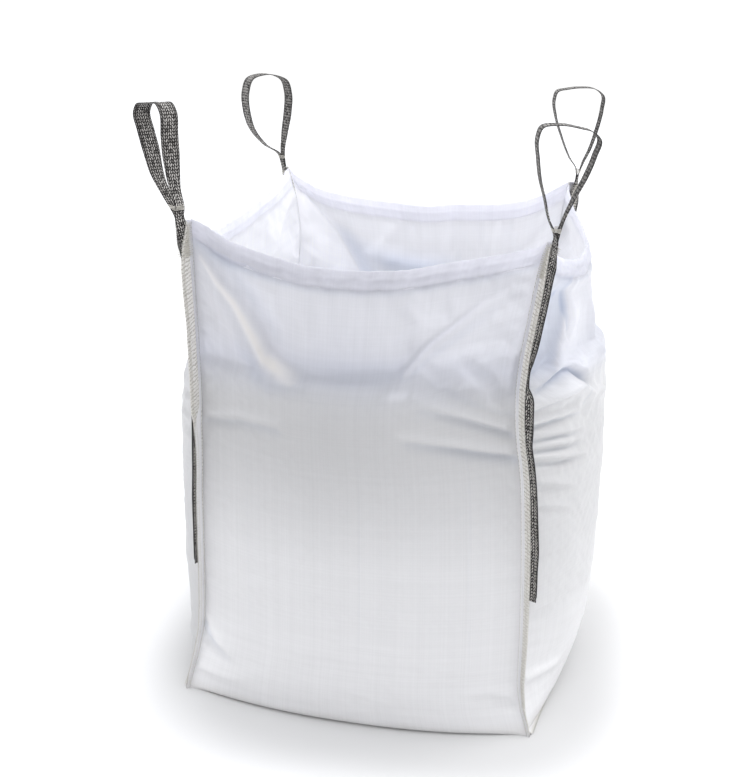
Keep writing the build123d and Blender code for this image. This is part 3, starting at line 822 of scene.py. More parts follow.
def woven_material(name, tint, seed):
    """Coated plain weave of flat tapes, slightly glossy, letting light through above the fill, with
    painted light and shade from the painted tone attribute and painted bands by height.
    """
    tape_pitch = 0.0026
    net = Nodes(bpy.data.materials.new(name))
    x, y = net.uv()
    z = net.split(net.place())[2]
    rib_x = abs(net.sine(x * (math.pi / tape_pitch)))
    rib_y = abs(net.sine(y * (math.pi / tape_pitch)))
    column = net.math("FLOOR", x / tape_pitch)
    row = net.math("FLOOR", y / tape_pitch)
    over = abs((column + row) % 2.0)
    weave = rib_x * over + rib_y * (1.0 - over)
    warp = net.random(column, seed * 3.1)
    weft = net.random(row, seed * 5.7)
    streak = net.noise(net.vector(x * 70.0, y * 1.3, seed),
                       scale=1.0, detail=3.0, roughness=0.6)
    band = net.noise(net.vector(x * 1.6, y * 60.0, seed + 4.0),
                     scale=1.0, detail=2.0, roughness=0.6)
    cloud = net.noise(net.vector(x, y, seed + 1.0), scale=5.0, detail=4.0, roughness=0.55)
    fine = net.noise(net.vector(x, y, seed + 2.0), scale=420.0, detail=2.0, roughness=0.5)
    # how much each pattern lightens and darkens the cloth
    shade = (warp - 0.5) * 0.030
    for pattern, amount in ((weft, 0.022), (streak, 0.060), (band, 0.036), (cloud, 0.050),
                            (weave, 0.030)):
        shade = shade + (pattern - 0.5) * amount

    # the painted tone attribute: painted light and shade (lighter or darker), a painted cream
    # highlight, and painted shade standing in for the fill behind the cloth
    lift, cream, fill = net.split(
        net.add("ShaderNodeAttribute", output="Color", attribute_name="PaintedTone"))
    dark = net.math("MINIMUM", lift, 0.0)
    shade = shade + net.math("MAXIMUM", lift, 0.0)
    value = (1.0 + shade) * (1.0 - fill)
    # painted shade turns bluish as it darkens
    painted_shade_tint = net.color(1.0 + dark * 1.30, 1.0 + dark * 1.08, 1.0 + dark * 0.66)

    # painted shade: cooler and a little darker in a soft band where the fill ends
    line = z - (0.905 + (cloud - 0.5) * 0.10)
    painted_band_shade = 2.718 ** (line * line * -210.0)
    base = net.mix(painted_band_shade * 0.45, tint, (tint[0] * 0.90, tint[1] * 0.92, tint[2] * 0.98))
    # painted cool light on the translucent cloth above the fill
    base = net.mix(net.remap(z, 0.84, 0.93, 0.0, 1.0), base, (0.985, 0.995, 1.035), "MULTIPLY")
    # slightly darker and warmer in the lowest few centimetres
    bottom_darkening = net.ramp(z + (cloud - 0.5) * 0.06, (0.0, (0.93, 0.92, 0.90)), (0.03, (1, 1, 1)))
    for factor in (bottom_darkening, net.color(value, value, value), painted_shade_tint):
        base = net.mix(1.0, base, factor, "MULTIPLY")
    # painted cream highlight along the crest of the long tension fold
    base = net.mix(net.math("MINIMUM", cream, 0.8), base, (0.93, 0.90, 0.85))

    normal = net.bump(weave, distance=0.00016, strength=0.5)
    normal = net.bump(cloud, distance=0.0012, strength=0.4, normal=normal)
    normal = net.bump(fine, distance=0.0001, strength=0.25, normal=normal)
    coat = net.principled(
        base, net.remap(cloud + warp * 0.2, 0.3, 0.9, 0.36, 0.52), Normal=normal,
        Specular_IOR_Level=0.42, Sheen_Weight=0.10, Sheen_Roughness=0.5)
    through = net.add("ShaderNodeBsdfTranslucent", {
        "Color": net.mix(1.0, base, (1.06, 1.05, 1.04), "MULTIPLY"), "Normal": normal})
    # translucent above the fill, with a further share from the hem up
    clear = net.remap(z + (cloud - 0.5) * 0.05, 0.84, 0.94, 0.05, 0.42)
    clear = clear + net.remap(y, 1.199, 1.207, 0.0, 0.24)
    return net.finish(net.add("ShaderNodeMixShader", {0: clear, 1: coat, 2: through}))


def felt_material():
    """Cream felt: fibrous and matt, with slanting dark thread marks."""
    mark_pitch = 0.0095
    net = Nodes(bpy.data.materials.new("felt"))
    x = net.uv()[0]
    place = net.place()
    z = net.split(place)[2]
    stretched = net.add("ShaderNodeVectorMath", {0: place, 1: (1.0, 1.0, 0.35)},
                        operation="MULTIPLY")
    fibre = net.noise(stretched, scale=900.0, detail=3.0, roughness=0.6, distortion=0.6)
    lump = net.noise(place, scale=60.0, detail=3.0, roughness=0.5)
    fleck = net.noise(place, scale=420.0, detail=1.0, roughness=0.5)
    base = net.ramp(fibre * 0.6 + lump * 0.4, (0.30, (0.66, 0.64, 0.60)),
                    (0.52, (0.80, 0.785, 0.755)), (0.75, (0.90, 0.89, 0.87)))
    base = net.mix(net.mask(fleck, 0.62, 0.72) * 0.25, base, (0.42, 0.40, 0.36))
    wander = net.noise(place, scale=110.0, detail=2.0, roughness=0.6)
    slant = z * (2 * math.pi / mark_pitch) + (x * 260.0 + wander * 9.0)
    marks = net.mask(net.sine(slant) * 0.5 + lump * 0.9, 0.62, 0.86)
    base = net.mix(marks * net.remap(z, 0.30, 0.60, 0.22, 0.55), base, (0.26, 0.23, 0.19))
    normal = net.bump(fibre, distance=0.0005, strength=0.6)
    normal = net.bump(lump, distance=0.0010, strength=0.4, normal=normal)
    normal = net.bump(marks, distance=0.0008, strength=0.5, normal=normal)
    return net.finish(net.principled(base, 0.92, Normal=normal, Sheen_Weight=0.35))


def webbing_material():
    """Coarse dark chevron twill with light flecks."""
    yarn_pitch, row_pitch, fold_at = 0.0056, 0.0078, 0.011
    net = Nodes(bpy.data.materials.new("webbing"))
    x, y = net.uv()
    # the diagonal changes direction across the width
    diagonal = y / row_pitch + abs(abs(x) - fold_at) * (0.9 / yarn_pitch)
    rib = abs(net.sine(diagonal * math.pi))
    cord = abs(net.sine(x * (math.pi / yarn_pitch)))
    pick = net.random(net.math("FLOOR", x / yarn_pitch), net.math("FLOOR", diagonal))
    light = net.mask(rib * cord * net.remap(pick, 0.0, 1.0, 0.55, 1.25), 0.42, 0.60)
    wear = net.noise(net.vector(x, y), scale=90.0, detail=3.0, roughness=0.6)
    dark = net.mix(wear, (0.010, 0.009, 0.009), (0.036, 0.033, 0.032))
    pale = net.mix(wear, (0.36, 0.34, 0.32), (0.80, 0.78, 0.75))
    edge = net.mask(abs(x) * 40.0, 0.80, 0.90)
    # dark selvedge bands either side of the flecked middle
    middle = net.ramp(abs(x) * 40.0, (0.40, (1, 1, 1)), (0.66, (0.50, 0.50, 0.50)))
    base = net.mix(light * middle, dark, pale)
    base = net.mix(edge * 0.35, base, (0.05, 0.05, 0.05))
    fuzz = net.noise(net.vector(x, y), scale=1400.0, detail=2.0, roughness=0.5)
    normal = net.bump(rib * cord, distance=0.0009, strength=0.9)
    normal = net.bump(fuzz, distance=0.0001, strength=0.4, normal=normal)
    return net.finish(net.principled(
        base, net.remap(wear, 0.3, 0.8, 0.62, 0.82), Normal=normal,
        Specular_IOR_Level=0.22, Sheen_Weight=0.02))


def thread_material(name, low, high):
    """Twisted thread between two colours."""
    net = Nodes(bpy.data.materials.new(name))
    x, y = net.uv()
    twist = abs(net.sine(y * 2600.0 + x * 1900.0))
    mottle = net.noise(net.place(), scale=140.0, detail=2.0, roughness=0.5)
    base = net.mix(twist * 0.55 + mottle * 0.45, low, high)
    normal = net.bump(twist, distance=0.0002, strength=0.8)
    return net.finish(net.principled(
        base, net.remap(mottle, 0.3, 0.7, 0.45, 0.65), Normal=normal))


CLOTH = woven_material("woven_cloth_body", tint=(0.855, 0.853, 0.866), seed=1.0)
CLOTH_SIDE = woven_material("woven_cloth_side", tint=(0.845, 0.845, 0.856), seed=7.0)
FELT = felt_material()
WEBBING = webbing_material()
THREAD = thread_material("thread_cream", low=(0.50, 0.47, 0.40), high=(0.86, 0.84, 0.78))
THREAD_WHITE = thread_material("thread_white", low=(0.66, 0.66, 0.68), high=(0.90, 0.90, 0.92))
CORD = thread_material("tie_cord", low=(0.42, 0.39, 0.33), high=(0.84, 0.82, 0.76))


def dress(built, material, body, slot, *nodes):
    """Gives an object its material, hangs it on its body's empty when one is given, and hides the
    model parts that it stands for.
    """
    built.data.materials.append(material)
    if body:
        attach(built, body)
    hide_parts(*nodes)


# ------------------------------------------------------------------ cloth simulation of a wall

SETTLE_FRAMES = 22
SETTLE_STEP = 3  # every third row and column is simulated
SETTLE_LIMIT = 0.022  # largest shift kept
CLOTH_SETTINGS = dict(
    quality=5, mass=0.12, tension_stiffness=30, compression_stiffness=30, shear_stiffness=12,
    bending_stiffness=0.35, tension_damping=8, compression_damping=8, shear_damping=6,
    air_damping=3, vertex_group_mass="hold", pin_stiffness=2.2,
    shrink_min=-0.018,  # negative: the sheet is slightly oversize
)


def settle_hold(side, across, z):
    """How firmly the cloth is held: hard at seams and floor, softly over the fill, hardly above."""
    slack = smooth(.78, .94, z)
    hold = (0.86 + 0.14 * (1 - smooth(.25, .55, z))) * (1 - slack) + 0.035 * slack
    seam = 1 - smooth(.012, .10, 1 - np.abs(across))
    rim = smooth(-.060, -.01, z - RIM[side](across))
    floor_hold = 1 - smooth(.02, .10, z)
    hold = np.maximum(hold, np.maximum(seam, np.maximum(rim * .55, floor_hold)))
    return np.clip(hold, 0.02, 1.0)


def settle(side, points, across):
    """Lets the cloth of one wall buckle and drape."""
    rows, cols = points.shape[:2]
    kept_rows, kept_cols = (
        np.unique(np.append(np.arange(0, count, SETTLE_STEP), count - 1)) for count in (rows, cols))
    coarse = points[np.ix_(kept_rows, kept_cols)]
    faces = grid_faces(*coarse.shape[:2]).tolist()
    sheet = mesh_object("settle_" + side, coarse.reshape(-1, 3), faces)
    coarse_across = np.broadcast_to(across[kept_cols][None, :], coarse.shape[:2])
    hold = settle_hold(side, coarse_across, coarse[..., 2])
    group = sheet.vertex_groups.new(name="hold")
    levels = np.round(hold.ravel() * 50).astype(int)
    for level in np.unique(levels):
        group.add(np.nonzero(levels == level)[0].tolist(), float(level) / 50, "REPLACE")
    modifier = sheet.modifiers.new("Cloth", "CLOTH")
    for key, value in CLOTH_SETTINGS.items():
        setattr(modifier.settings, key, value)
    modifier.settings.effector_weights.gravity = 0.5
    modifier.collision_settings.use_collision = False
    modifier.point_cache.frame_start = 1
    modifier.point_cache.frame_end = SETTLE_FRAMES
    scene = bpy.context.scene
    for frame in range(1, SETTLE_FRAMES + 1):
        scene.frame_set(frame)
    evaluated = sheet.evaluated_get(bpy.context.evaluated_depsgraph_get())
    settled = np.zeros(len(evaluated.data.vertices) * 3, np.float32)
    evaluated.data.vertices.foreach_get("co", settled)
    bpy.data.objects.remove(sheet)
    scene.frame_set(1)

    shift = np.nan_to_num(settled.reshape(coarse.shape) - coarse)
    size = np.linalg.norm(shift, axis=-1, keepdims=True)
    shift = shift * np.minimum(1.0, SETTLE_LIMIT / np.maximum(size, 1e-9))
    tall = np.zeros((rows, len(kept_cols), 3))
    full = np.zeros(points.shape)
    for k in range(3):
        for j in range(len(kept_cols)):
            tall[:, j, k] = np.interp(np.arange(rows), kept_rows, shift[:, j, k])
        for i in range(rows):
            full[i, :, k] = np.interp(np.arange(cols), kept_cols, tall[i, :, k])
    # soften the interpolation's facets
    for _ in range(2):
        full[1:-1, 1:-1] = (full[1:-1, 1:-1] * 4 + full[:-2, 1:-1] + full[2:, 1:-1]
                            + full[1:-1, :-2] + full[1:-1, 2:]) / 8
    return points + full * smooth(0, .03, 1 - np.abs(across))[None, :, None]


# ------------------------------------------------------------------ painted light and shade of the cloth
# Each function gives painted light and shade: shade (lighter or darker), cream (a painted cream
# highlight) and fill (painted shade standing in for the fill behind the cloth; below zero it
# lightens).

# painted highlights along the folds of the front
FRONT_LIGHTS = [
    ([.84,1.134, .73,1.108, .6,1.052, .47,1.003, .33,.925],
     [.05, .15, .20, .20, .11], .009, .005),
    ([.27,.873, .34,.878], .17, .010),
    ([.62,.965, .74,.905, .86,.858], [.02, .06, .05], .028, .016),
    *[(points, [tone * .6, tone, tone * .7], .016, .007) for points, tone in (
        ([-1.0,.776, -.7,.797, -.45,.792], .10),
        ([.40,.874, .64,.843, .95,.802], .10),
        ([.34,.780, .64,.767, .96,.740], .13))],
    ([-.98,.205, -.90,.165, -.80,.135], [.07, .06, .02], .010, .005),
]
# painted shade along the folds of the front, under its rim and above the fill line
FRONT_DARKS = [
    ([-.84,1.165, -.66,1.09, -.52,1.00, -.44,.93], [.03, .06, .05, .01], .032, .022),
    ([-.99,1.19, -.80,1.165, -.52,1.14, -.30,1.118], [.05, .06, .04, 0], .018, .020),
    ([-.72,.955, -.60,.905, -.50,.878, -.28,.878], [.03, .07, .05, .02], .022, .020),
    ([-.34,.905, -.05,.900, .22,.905], [.03, .07, .06], .040, .022),
    ([.80,1.085, .62,1.02, .48,.970, .36,.915], [.01, .03, .03, .02], .008, .026),
    ([.50,.905, .70,.862, .97,.822], [.02, .04, .05], .012, .012),
    *[(points, [tone * .5, tone, tone], .006, .016) for points, tone in (
        ([-1.0,.752, -.7,.774, -.45,.770], .06),
        ([.46,.842, .70,.818, .97,.776], .07),
        ([.38,.764, .66,.748, .98,.720], .10))],
    ([-.98,.185, -.90,.148, -.80,.118], [.08, .07, .02], .012, .020),
]
# painted cream highlight along the crest of the long tension fold
FRONT_RIDGE_HIGHLIGHT = (
    [-.95,1.165, -.84,1.108, -.74,1.060, -.65,.995, -.56,.932, -.47,.908, -.36,.888],
    [.04, .13, .19, .21, .23, .25, .05], [.005, .008, .012, .015], [.0045, .006, .009, .008])
FRONT_STREAKS = (-.66, -.40, .07, .33, .71)  # across


def painted_tone_front(across, z):
    fill = np.interp(
        z, [.10, .22, .36, .44, .52, .58, .64, .72, .78, .84, .88, .905, .94, 1.0],
        [.0, .0, .03, .05, .12, .18, .23, .275, .28, .25, .20, .165, .14, .125])
    fill -= (fill * .15 * smooth(-.2, .6, across)
             + .05 * smooth(.3, .8, across) * smooth(.95, 1.02, z))
    fill += .02 + .065 * window(z, .08, .30, .86, .94)
    fill += .05 * smooth(.62, .95, -across) * window(z, .95, 1.02, 1.15, 1.22)
    fill -= .05 * (1 - smooth(-.95, -.70, across)) * (1 - smooth(.16, .24, z))
    ridge_highlight = stroke(across, z, *FRONT_RIDGE_HIGHLIGHT)
    shade = ridge_highlight + strokes(across, z, FRONT_LIGHTS) - strokes(across, z, FRONT_DARKS)
    for k, place in enumerate(FRONT_STREAKS):
        line = bell(across, place + .01 * noise(z * 5, 0 * z + k, 5), .006)
        shade += (.020 if k % 2 else -.018) * line * window(z, .12, .3, .66, .80)
    return shade, ridge_highlight * 3.6, fill


# painted highlights beside the pucker and along the wrinkles of the right wall
RIGHT_LIGHTS = [
    ([-.82,.845, -.66,.862, -.52,.835], [.04, .07, .04], .010, .030),
    *[(seam_line(-1, seam_z, tip_z, tip, lifts=(.002, .006, 0)),
       [tone * .3, tone * .5, 0], .006) for seam_z, tip_z, tip, _, tone in RIGHT_WRINKLES],
]
# painted shade in the pucker, the fold under the rim and the wrinkles of the right wall
RIGHT_DARKS = [
    ([-.88,.868, -.79,.883, -.66,.899, -.58,.896, -.49,.866, -.42,.842],
     [.08, .20, .26, .26, .20, .06], .007, .010),
    ([-.575,1.09, -.565,1.045, -.555,.995], [.08, .20, .16], .005, .007),
    ([-.49,.845, -.52,.80], [.12, .06], .005, .006),
    ([-.82,1.085, -.67,1.098], [.06, .10], .007, .007),
    *[(seam_line(-1, seam_z, tip_z, tip, lifts=WRINKLE_GROOVE_LIFTS), [tone * .5, tone, 0], .005)
      for seam_z, tip_z, tip, _, tone in RIGHT_WRINKLES],
]


def painted_tone_right(across, z):
    fill = np.interp(z, [.0, .14, .30, .50, .70, .80, .88, .95, 1.25],
                     [-.02, .0, .17, .235, .245, .17, .10, .03, -.04])
    fill += .05 * smooth(-.6, -.2, across) * bell(z, .6, .25)
    fill += .07 * smooth(-.1, .7, across) * bell(z, .55, .25)
    # painted highlight on the facet and painted shade on the cloth in front of it
    line = np.interp(z, [.87, .90, 1.0, 1.05, 1.12], [-.79, -.73, -.60, -.56, -.54])
    facet = smooth(-.012, .022, across - line) * smooth(.882, .900, z + .03 * (across + .6))
    facet = facet * (1 - smooth(1.02, 1.14, z))
    fill -= .07 * facet
    shade = .07 * facet * (1 - smooth(-.5, -.2, across))
    shade -= .13 * (1 - smooth(-.020, .012, across - line)) * window(z, .885, .93, 1.10, 1.17)
    shade += strokes(across, z, RIGHT_LIGHTS) - strokes(across, z, RIGHT_DARKS)
    return shade, 0 * z, fill


def painted_tone_rear(across, z):
    # painted light beside the crease from the bag's left corner and painted shade on its other
    # side, painted shade near the right corner and along the sag line, lighter towards the rim,
    # painted fill shade low down
    fold = np.interp(z, [.80, .90, .953, 1.005, 1.062, 1.107, 1.16, 1.25],
                     [.44, .50, .56, .64, .72, .80, .90, 1.0])
    shade = 0.12 * smooth(-.006, .018, across - fold) * smooth(.90, .97, z)
    shade -= 0.12 * bell(across, fold - .06, .10) * window(z, .9, .95, 1.05, 1.15)
    shade -= 0.16 * bell(across, -1, .05) * bell(z, 1.04, .05)
    shade -= stroke(across, z, [.52,1.015, .30,.985, .04,.972, -.20,.985],
                    [.04, .17, .16, .04], .034, .030)
    shade += .06 * smooth(1.03, 1.10, z)
    return shade, 0 * z, .15 * (1 - smooth(.80, .93, z))


def painted_tone_left(across, z):
    # painted light towards the rim and painted fill shade lower down
    return 0.12 * smooth(.86, .96, z), 0 * z, 0.34 * (1 - smooth(.78, .92, z))


PAINTED_TONES = {"front": painted_tone_front, "right": painted_tone_right, "rear": painted_tone_rear, "left": painted_tone_left}


def cloth_painted_tone(side, across, z):
    shade, cream, fill = PAINTED_TONES[side](across, z)
    # painted light on the doubled cloth of the hem: paler crumpled lines, a painted highlight along
    # the rim and painted shade below the hem
    x = across * HALF_SPAN
    below = RIM[side](across) - z
    hem = np.exp(-((below - .022) / .018) ** 4)
    shade += hem * (.060 + .085 * creased(x * 22 + 3, below * 70, 77, 3))
    shade += .16 * bell(below, 0, .0050) * (.55 + .45 * noise(x * 30, 0 * x, 78))
    shade -= .05 * bell(below, .050, .010)
    return np.stack([shade, cream, fill], -1)


# ------------------------------------------------------------------ cloth panels

FLANGE_COLS = 5
CLOTH_FACE = 0.0019  # offset of a cloth flange from the fin's middle
BODY_FLANGE, SIDE_FLANGE = 0.012, 0.030  # widths
HEM_ROLL = 0.0026  # radius of the roll over the rim
HEM_DEPTH = 0.046


def panel(parts, side, cols, rows, flange, face):
    """One wall from the floor over the rim, with its rolled hem and the flanges in its fins."""
    first, last, out = WALLS[side]
    even = np.linspace(-1, 1, cols)
    across = np.sign(even) * (1 - (1 - np.abs(even)) ** 1.12)  # finer towards the corners
    seam_z = np.linspace(0.0, HEIGHT, rows)
    across_grid, z_grid = np.meshgrid(across, seam_z)
    points = wall(side, across_grid, z_grid)
    points = settle(side, points, across)
    tone = cloth_painted_tone(side, across_grid, points[..., 2])
    shares = np.linspace(0, 1, FLANGE_COLS + 1)[1:]

    def flange_columns(corner):
        full = FELT_END[corner](seam_z) + 0.0005
        reach = np.minimum(flange, full)
        if side == "front" and corner == "FL":  # the front cloth covers this fin below z 0.72
            reach = reach + (full - reach) * (1 - smooth(.72, .80, seam_z))
        return [fin_point(corner, seam_z, reach * share, face * min(1.0, share * 3))
                for share in shares]

    points = np.concatenate([np.stack(flange_columns(first)[::-1], 1), points,
                             np.stack(flange_columns(last), 1)], 1)
    cloth_x = np.concatenate([-HALF_SPAN - flange * shares[::-1], across * HALF_SPAN,
                              HALF_SPAN + flange * shares])
    # hem: over the rim and down the inside
    top = points[-1]
    middle = slice(FLANGE_COLS, -FLANGE_COLS)
    inner = np.zeros((len(top), 1))
    inner[middle, 0] = smooth(0, .06, 1 - np.abs(across))
    hem_rows, cloth_y = [], list(seam_z)
    for degrees in (40, 80, 120, 160):
        angle = math.radians(degrees)
        inward = out * HEM_ROLL * (1 - math.cos(angle))
        upward = np.array([0, 0, 1.0]) * HEM_ROLL * math.sin(angle)
        hem_rows.append(top - inward * inner + upward * inner)
        cloth_y.append(HEIGHT + HEM_ROLL * angle)
    all_across = np.concatenate([np.full(FLANGE_COLS, -1.0), across, np.full(FLANGE_COLS, 1.0)])
    for depth in np.linspace(0.003, HEM_DEPTH, 14):
        level = HEIGHT - depth
        row = np.zeros_like(top)
        row[middle] = wall(side, across, np.full(cols, level))
        for i in (*range(FLANGE_COLS), *range(-FLANGE_COLS, 0)):
            row[i] = [np.interp(level, seam_z, points[:, i, k]) for k in range(3)]
        plump = (HEM_ROLL * 2 * (1 - (depth / HEM_DEPTH) ** 3) + 0.0012
                 + 0.0022 * math.sin(math.pi * min(1, depth / 0.040)) * 0.9)
        wobble = 0.0012 * noise(all_across * 22, 0 * all_across + depth * 60, 61)
        wobble = wobble * math.sin(math.pi * depth / HEM_DEPTH)
        hem_rows.append(row - out * ((plump + wobble)[:, None] * inner))
        cloth_y.append(HEIGHT + 0.008 + depth)
    points = np.concatenate([points, np.stack(hem_rows)], 0)
    full_painted_tone = np.zeros(points.shape)
    full_painted_tone[:rows, middle] = tone
    full_painted_tone[rows:] = full_painted_tone[rows - 1] * 0.4
    parts.grid(points, np.stack(np.meshgrid(cloth_x, cloth_y), -1), tone=full_painted_tone)


def base_sheet(parts):
    """Base: patch between the floor lines of the four walls."""
    count = 41
    even = np.linspace(-1, 1, count)
    front, right, rear, left = (wall(side, even, 0 * even)[:, :2] for side in WALLS)
    rear, left = rear[::-1], left[::-1]
    points = np.zeros((count, count, 3))
    share = ((even + 1) / 2)[:, None]
    rest = 1 - share
    for j, back in enumerate(share[:, 0]):
        ruled = front * (1 - back) + rear * back + left[j] * rest + right[j] * share
        bilinear = (front[0] * (rest * (1 - back)) + front[-1] * (share * (1 - back))
                    + rear[0] * (rest * back) + rear[-1] * (share * back))
        points[j, :, :2] = ruled - bilinear
    inset = 1 - np.maximum(*np.abs(np.meshgrid(even, even)))
    rough = 1 + 0.4 * noise(points[..., 0] * 18, points[..., 1] * 18, 81)
    points[..., 2] = 0.0004 + 0.0008 * smooth(0, .1, inset) * rough
    parts.grid(points, points[..., :2], flip=True)


def base_fin(side, inner, outer, z, count=120):
    """Two edge lines of a layer of the fin along a side's floor edge, and its outward direction."""
    across = np.linspace(-.985, .985, count)
    line = wall(side, across, 0 * across)
    out = np.cross(unit(np.gradient(line, axis=0)), [0, 0, 1.0])
    if out[count // 2] @ WALLS[side][2] < 0:
        out = -out
    line[:, 2] = z + 0.0012 * (noise(line[:, 1] * 22, 0 * line[:, 1], 91) + 1)
    return line + out * inner, line + out * outer, out


def floor_flange(parts, side, inner, z):
    outer = BODY_FLANGE
    edges = np.stack(base_fin(side, inner, outer, z)[:2])
    cloth_y = np.array([0, outer])[:, None] + 0 * edges[..., 1]
    parts.grid(edges, np.stack([edges[..., 1], cloth_y], -1))


def body_panel():
    """U-panel: front, base and rear."""
    parts = Parts()
    panel(parts, "front", cols=190, rows=226, flange=BODY_FLANGE, face=CLOTH_FACE)
    panel(parts, "rear", cols=150, rows=190, flange=BODY_FLANGE, face=CLOTH_FACE)
    base_sheet(parts)
    for side in ("left", "right"):
        floor_flange(parts, side, inner=-0.002, z=0.0008)
    dress(parts.object("panel_front_base_rear", True), CLOTH, "bag", "woven_fabric", "u_panel")


def side_panel(side):
    parts = Parts()
    panel(parts, side, cols=184, rows=226, flange=SIDE_FLANGE, face=-CLOTH_FACE)
    floor_flange(parts, side, inner=-0.001, z=0.0046)
    dress(parts.object("panel_" + side, True), CLOTH_SIDE, "bag", "woven_fabric",
          "side_panel_" + side)


# ------------------------------------------------------------------ felt and thread of the fins


def felt_strip(parts, corner):
    z = np.linspace(0.004, 1.247, 230)
    inner, outer = 0.001, FELT_END[corner](z)
    edge = fin_point(corner, z, outer, 0.0) - fin_point(corner, z, inner, 0.0)
    strap(parts, fin_point(corner, z, (inner + outer) / 2, 0.0), edge, outer - inner, 0.0022)


def chain_row(parts, corner):
    """Chain stitch on the U-panel's flange."""
    z = np.arange(0.016, 1.242, 0.0062)
    out, face, length = 0.0085, 0.0028, 0.0056
    stitches(parts, fin_point(corner, z, out, face), fin_point(corner, z + length, out, face),
             0.00062, fin_axes(corner, z + .003)[1] * 0.0004)


def overlock_row(parts, corner):
    """Slanted loops on both faces, a thread over the edge and a line along the U-panel's face."""
    z = np.arange(0.010, 1.244, 0.0052)
    edge = FELT_END[corner](z)
    outward, facing = fin_axes(corner, z)
    radius, inset = 0.00055, 0.0075
    # start rise, out and face; end rise, out and face; radius; bow
    for start, end, radius, bow in (
        ((0, -inset, .0016), (.0030, .0008, .0013), radius, facing * 0.0003),
        ((.0030, .0012, .0014), (.0040, .0012, -.0016), radius, outward * 0.0004),
        ((.0040, .0008, -.0016), (.0064, -inset, -.0025), radius, -facing * 0.0003),
        ((0, -inset, .0017), (.0050, -inset, .0017), 0.0005, facing * 0.0002),
    ):
        from_points, to_points = (fin_point(corner, z + rise, edge + out, face)
                                  for rise, out, face in (start, end))
        stitches(parts, from_points, to_points, radius, bow)


def fin_seams(side, corners):
    """Felt, chain stitch and overlock of a side panel's two fins and its floor edge."""
    felt, chain, overlock = Parts(), Parts(), Parts()
    for corner in corners:
        felt_strip(felt, corner)
        chain_row(chain, corner)
        overlock_row(overlock, corner)
    inner, outer, out = base_fin(side, 0.001, 0.0135, 0.0027)
    strap(felt, (inner + outer) / 2 - out * .0012, outer - inner, 0.0105, 0.0020)
    line = base_fin(side, 0.0065, 0.0065, 0.0052, 150)[0]
    stitches(chain, line[:-1] * .96 + line[1:] * .04, line[:-1] * .06 + line[1:] * .94,
             0.0006, [0, 0, 0.0004])
    inner, outer, out = base_fin(side, 0.0075, 0.0150, 0.0046, 170)
    stitches(overlock, inner[:-1], outer[1:], 0.00055, [0, 0, 0.0004])
    under = outer[1:] - np.array([0, 0, 0.0030]) + out[1:] * .0002
    stitches(overlock, outer[1:], under, 0.00055, out[1:] * 0.0003)
    dress(felt.object("felt_" + side), FELT, "bag", "seam_felt", "seam_felt_" + side)
    dress(chain.object("chain_stitch_" + side), THREAD_WHITE, "bag", "thread",
          "seam_chain_stitch_" + side)
    dress(overlock.object("overlock_" + side), THREAD, "bag", "thread", "seam_overlock_" + side)


def hem_thread(side):
    depth, pitch, reach = 0.0425, 0.0074, .965
    out = WALLS[side][2]
    count = int(0.80 / pitch)
    starts = np.linspace(-reach, reach, count + 1)[:-1]
    step = 2 * reach / count
    ends = []
    for across in (starts + step * .06, starts + step * .86):
        level = RIM[side](across) - depth
        seam_z = level.copy()
        for _ in range(12):  # find the seam height that lies at this level
            seam_z = seam_z + (level - wall(side, across, seam_z)[:, 2])
        ends.append(wall(side, across, seam_z) + out * 0.0006)
    parts = Parts()
    stitches(parts, *ends, 0.0006, out * 0.0004)
    dress(parts.object("hem_thread_" + side), THREAD_WHITE, "bag", "thread", "hem_stitch_" + side)


# ------------------------------------------------------------------ webbing: legs, necks, loops

WEB = 0.0015  # thickness
WEB_WIDTH = 0.045
WEB_FACE = -0.0036  # offset of the inner layer from the fin's middle
WEB_LAYER = WEB + 0.0003  # from layer to layer
LEG_THREAD_FACE = WEB_FACE - WEB_LAYER - WEB / 2 - 0.0004
LEG_END = 0.365
LEG_TOP = 1.150
HINGE_Z = 1.262
# plan angle of the loop's plane and twist of the strap in degrees;
# outline as distance along the plane from the hinge, height above HINGE_Z
LOOPS = {
    "FR": (12.0, 2.0, [
        -.0247,.0437, -.0368,.0889, -.0484,.1277, -.0559,.1722, -.0601,.2131, -.0528,.2362,
        -.0177,.2431, .0239,.238, .0601,.2268, .0708,.2146, .0639,.1802, .047,.1324,
        .0316,.0992, .0087,.0443]),
    "RR": (192.0, 1.0, [
        .0040,.0215, .0265,.0560, .0538,.1156, .0734,.1697, .0805,.2151, .0742,.2365,
        .0476,.2442, .013,.2486, -.0343,.2437, -.0537,.2279, -.054,.1911, -.0435,.1328,
        -.0279,.078, -.0113,.0385]),
    "RL": (219.0, 7.0, [
        .0075,.0215, .0560,.0560, .0962,.1044, .1124,.1565, .1146,.2074, .100,.245,
        .0689,.2556, .0252,.2533, -.0062,.2385, -.0188,.2011, -.0168,.1465, -.0067,.0857,
        -.0005,.0310]),
    "FL": (320.0, 0.0, [
        -.0504,.0346, -.102,.0863, -.1246,.1348, -.1476,.1788, -.1646,.2187, -.1518,.2371,
        -.1025,.2443, -.0504,.2463, -.0353,.231, -.0326,.1775, -.0275,.1237, -.014,.0567,
        .0048,.0208]),
}
# z, share of the full webbing width
GATHER = curve(
    1.10,1.0, 1.19,1.0, 1.235,.62, 1.262,.50, 1.29,.50, 1.315,.60, 1.36,.84, 1.41,1.0, 1.60,1.0)
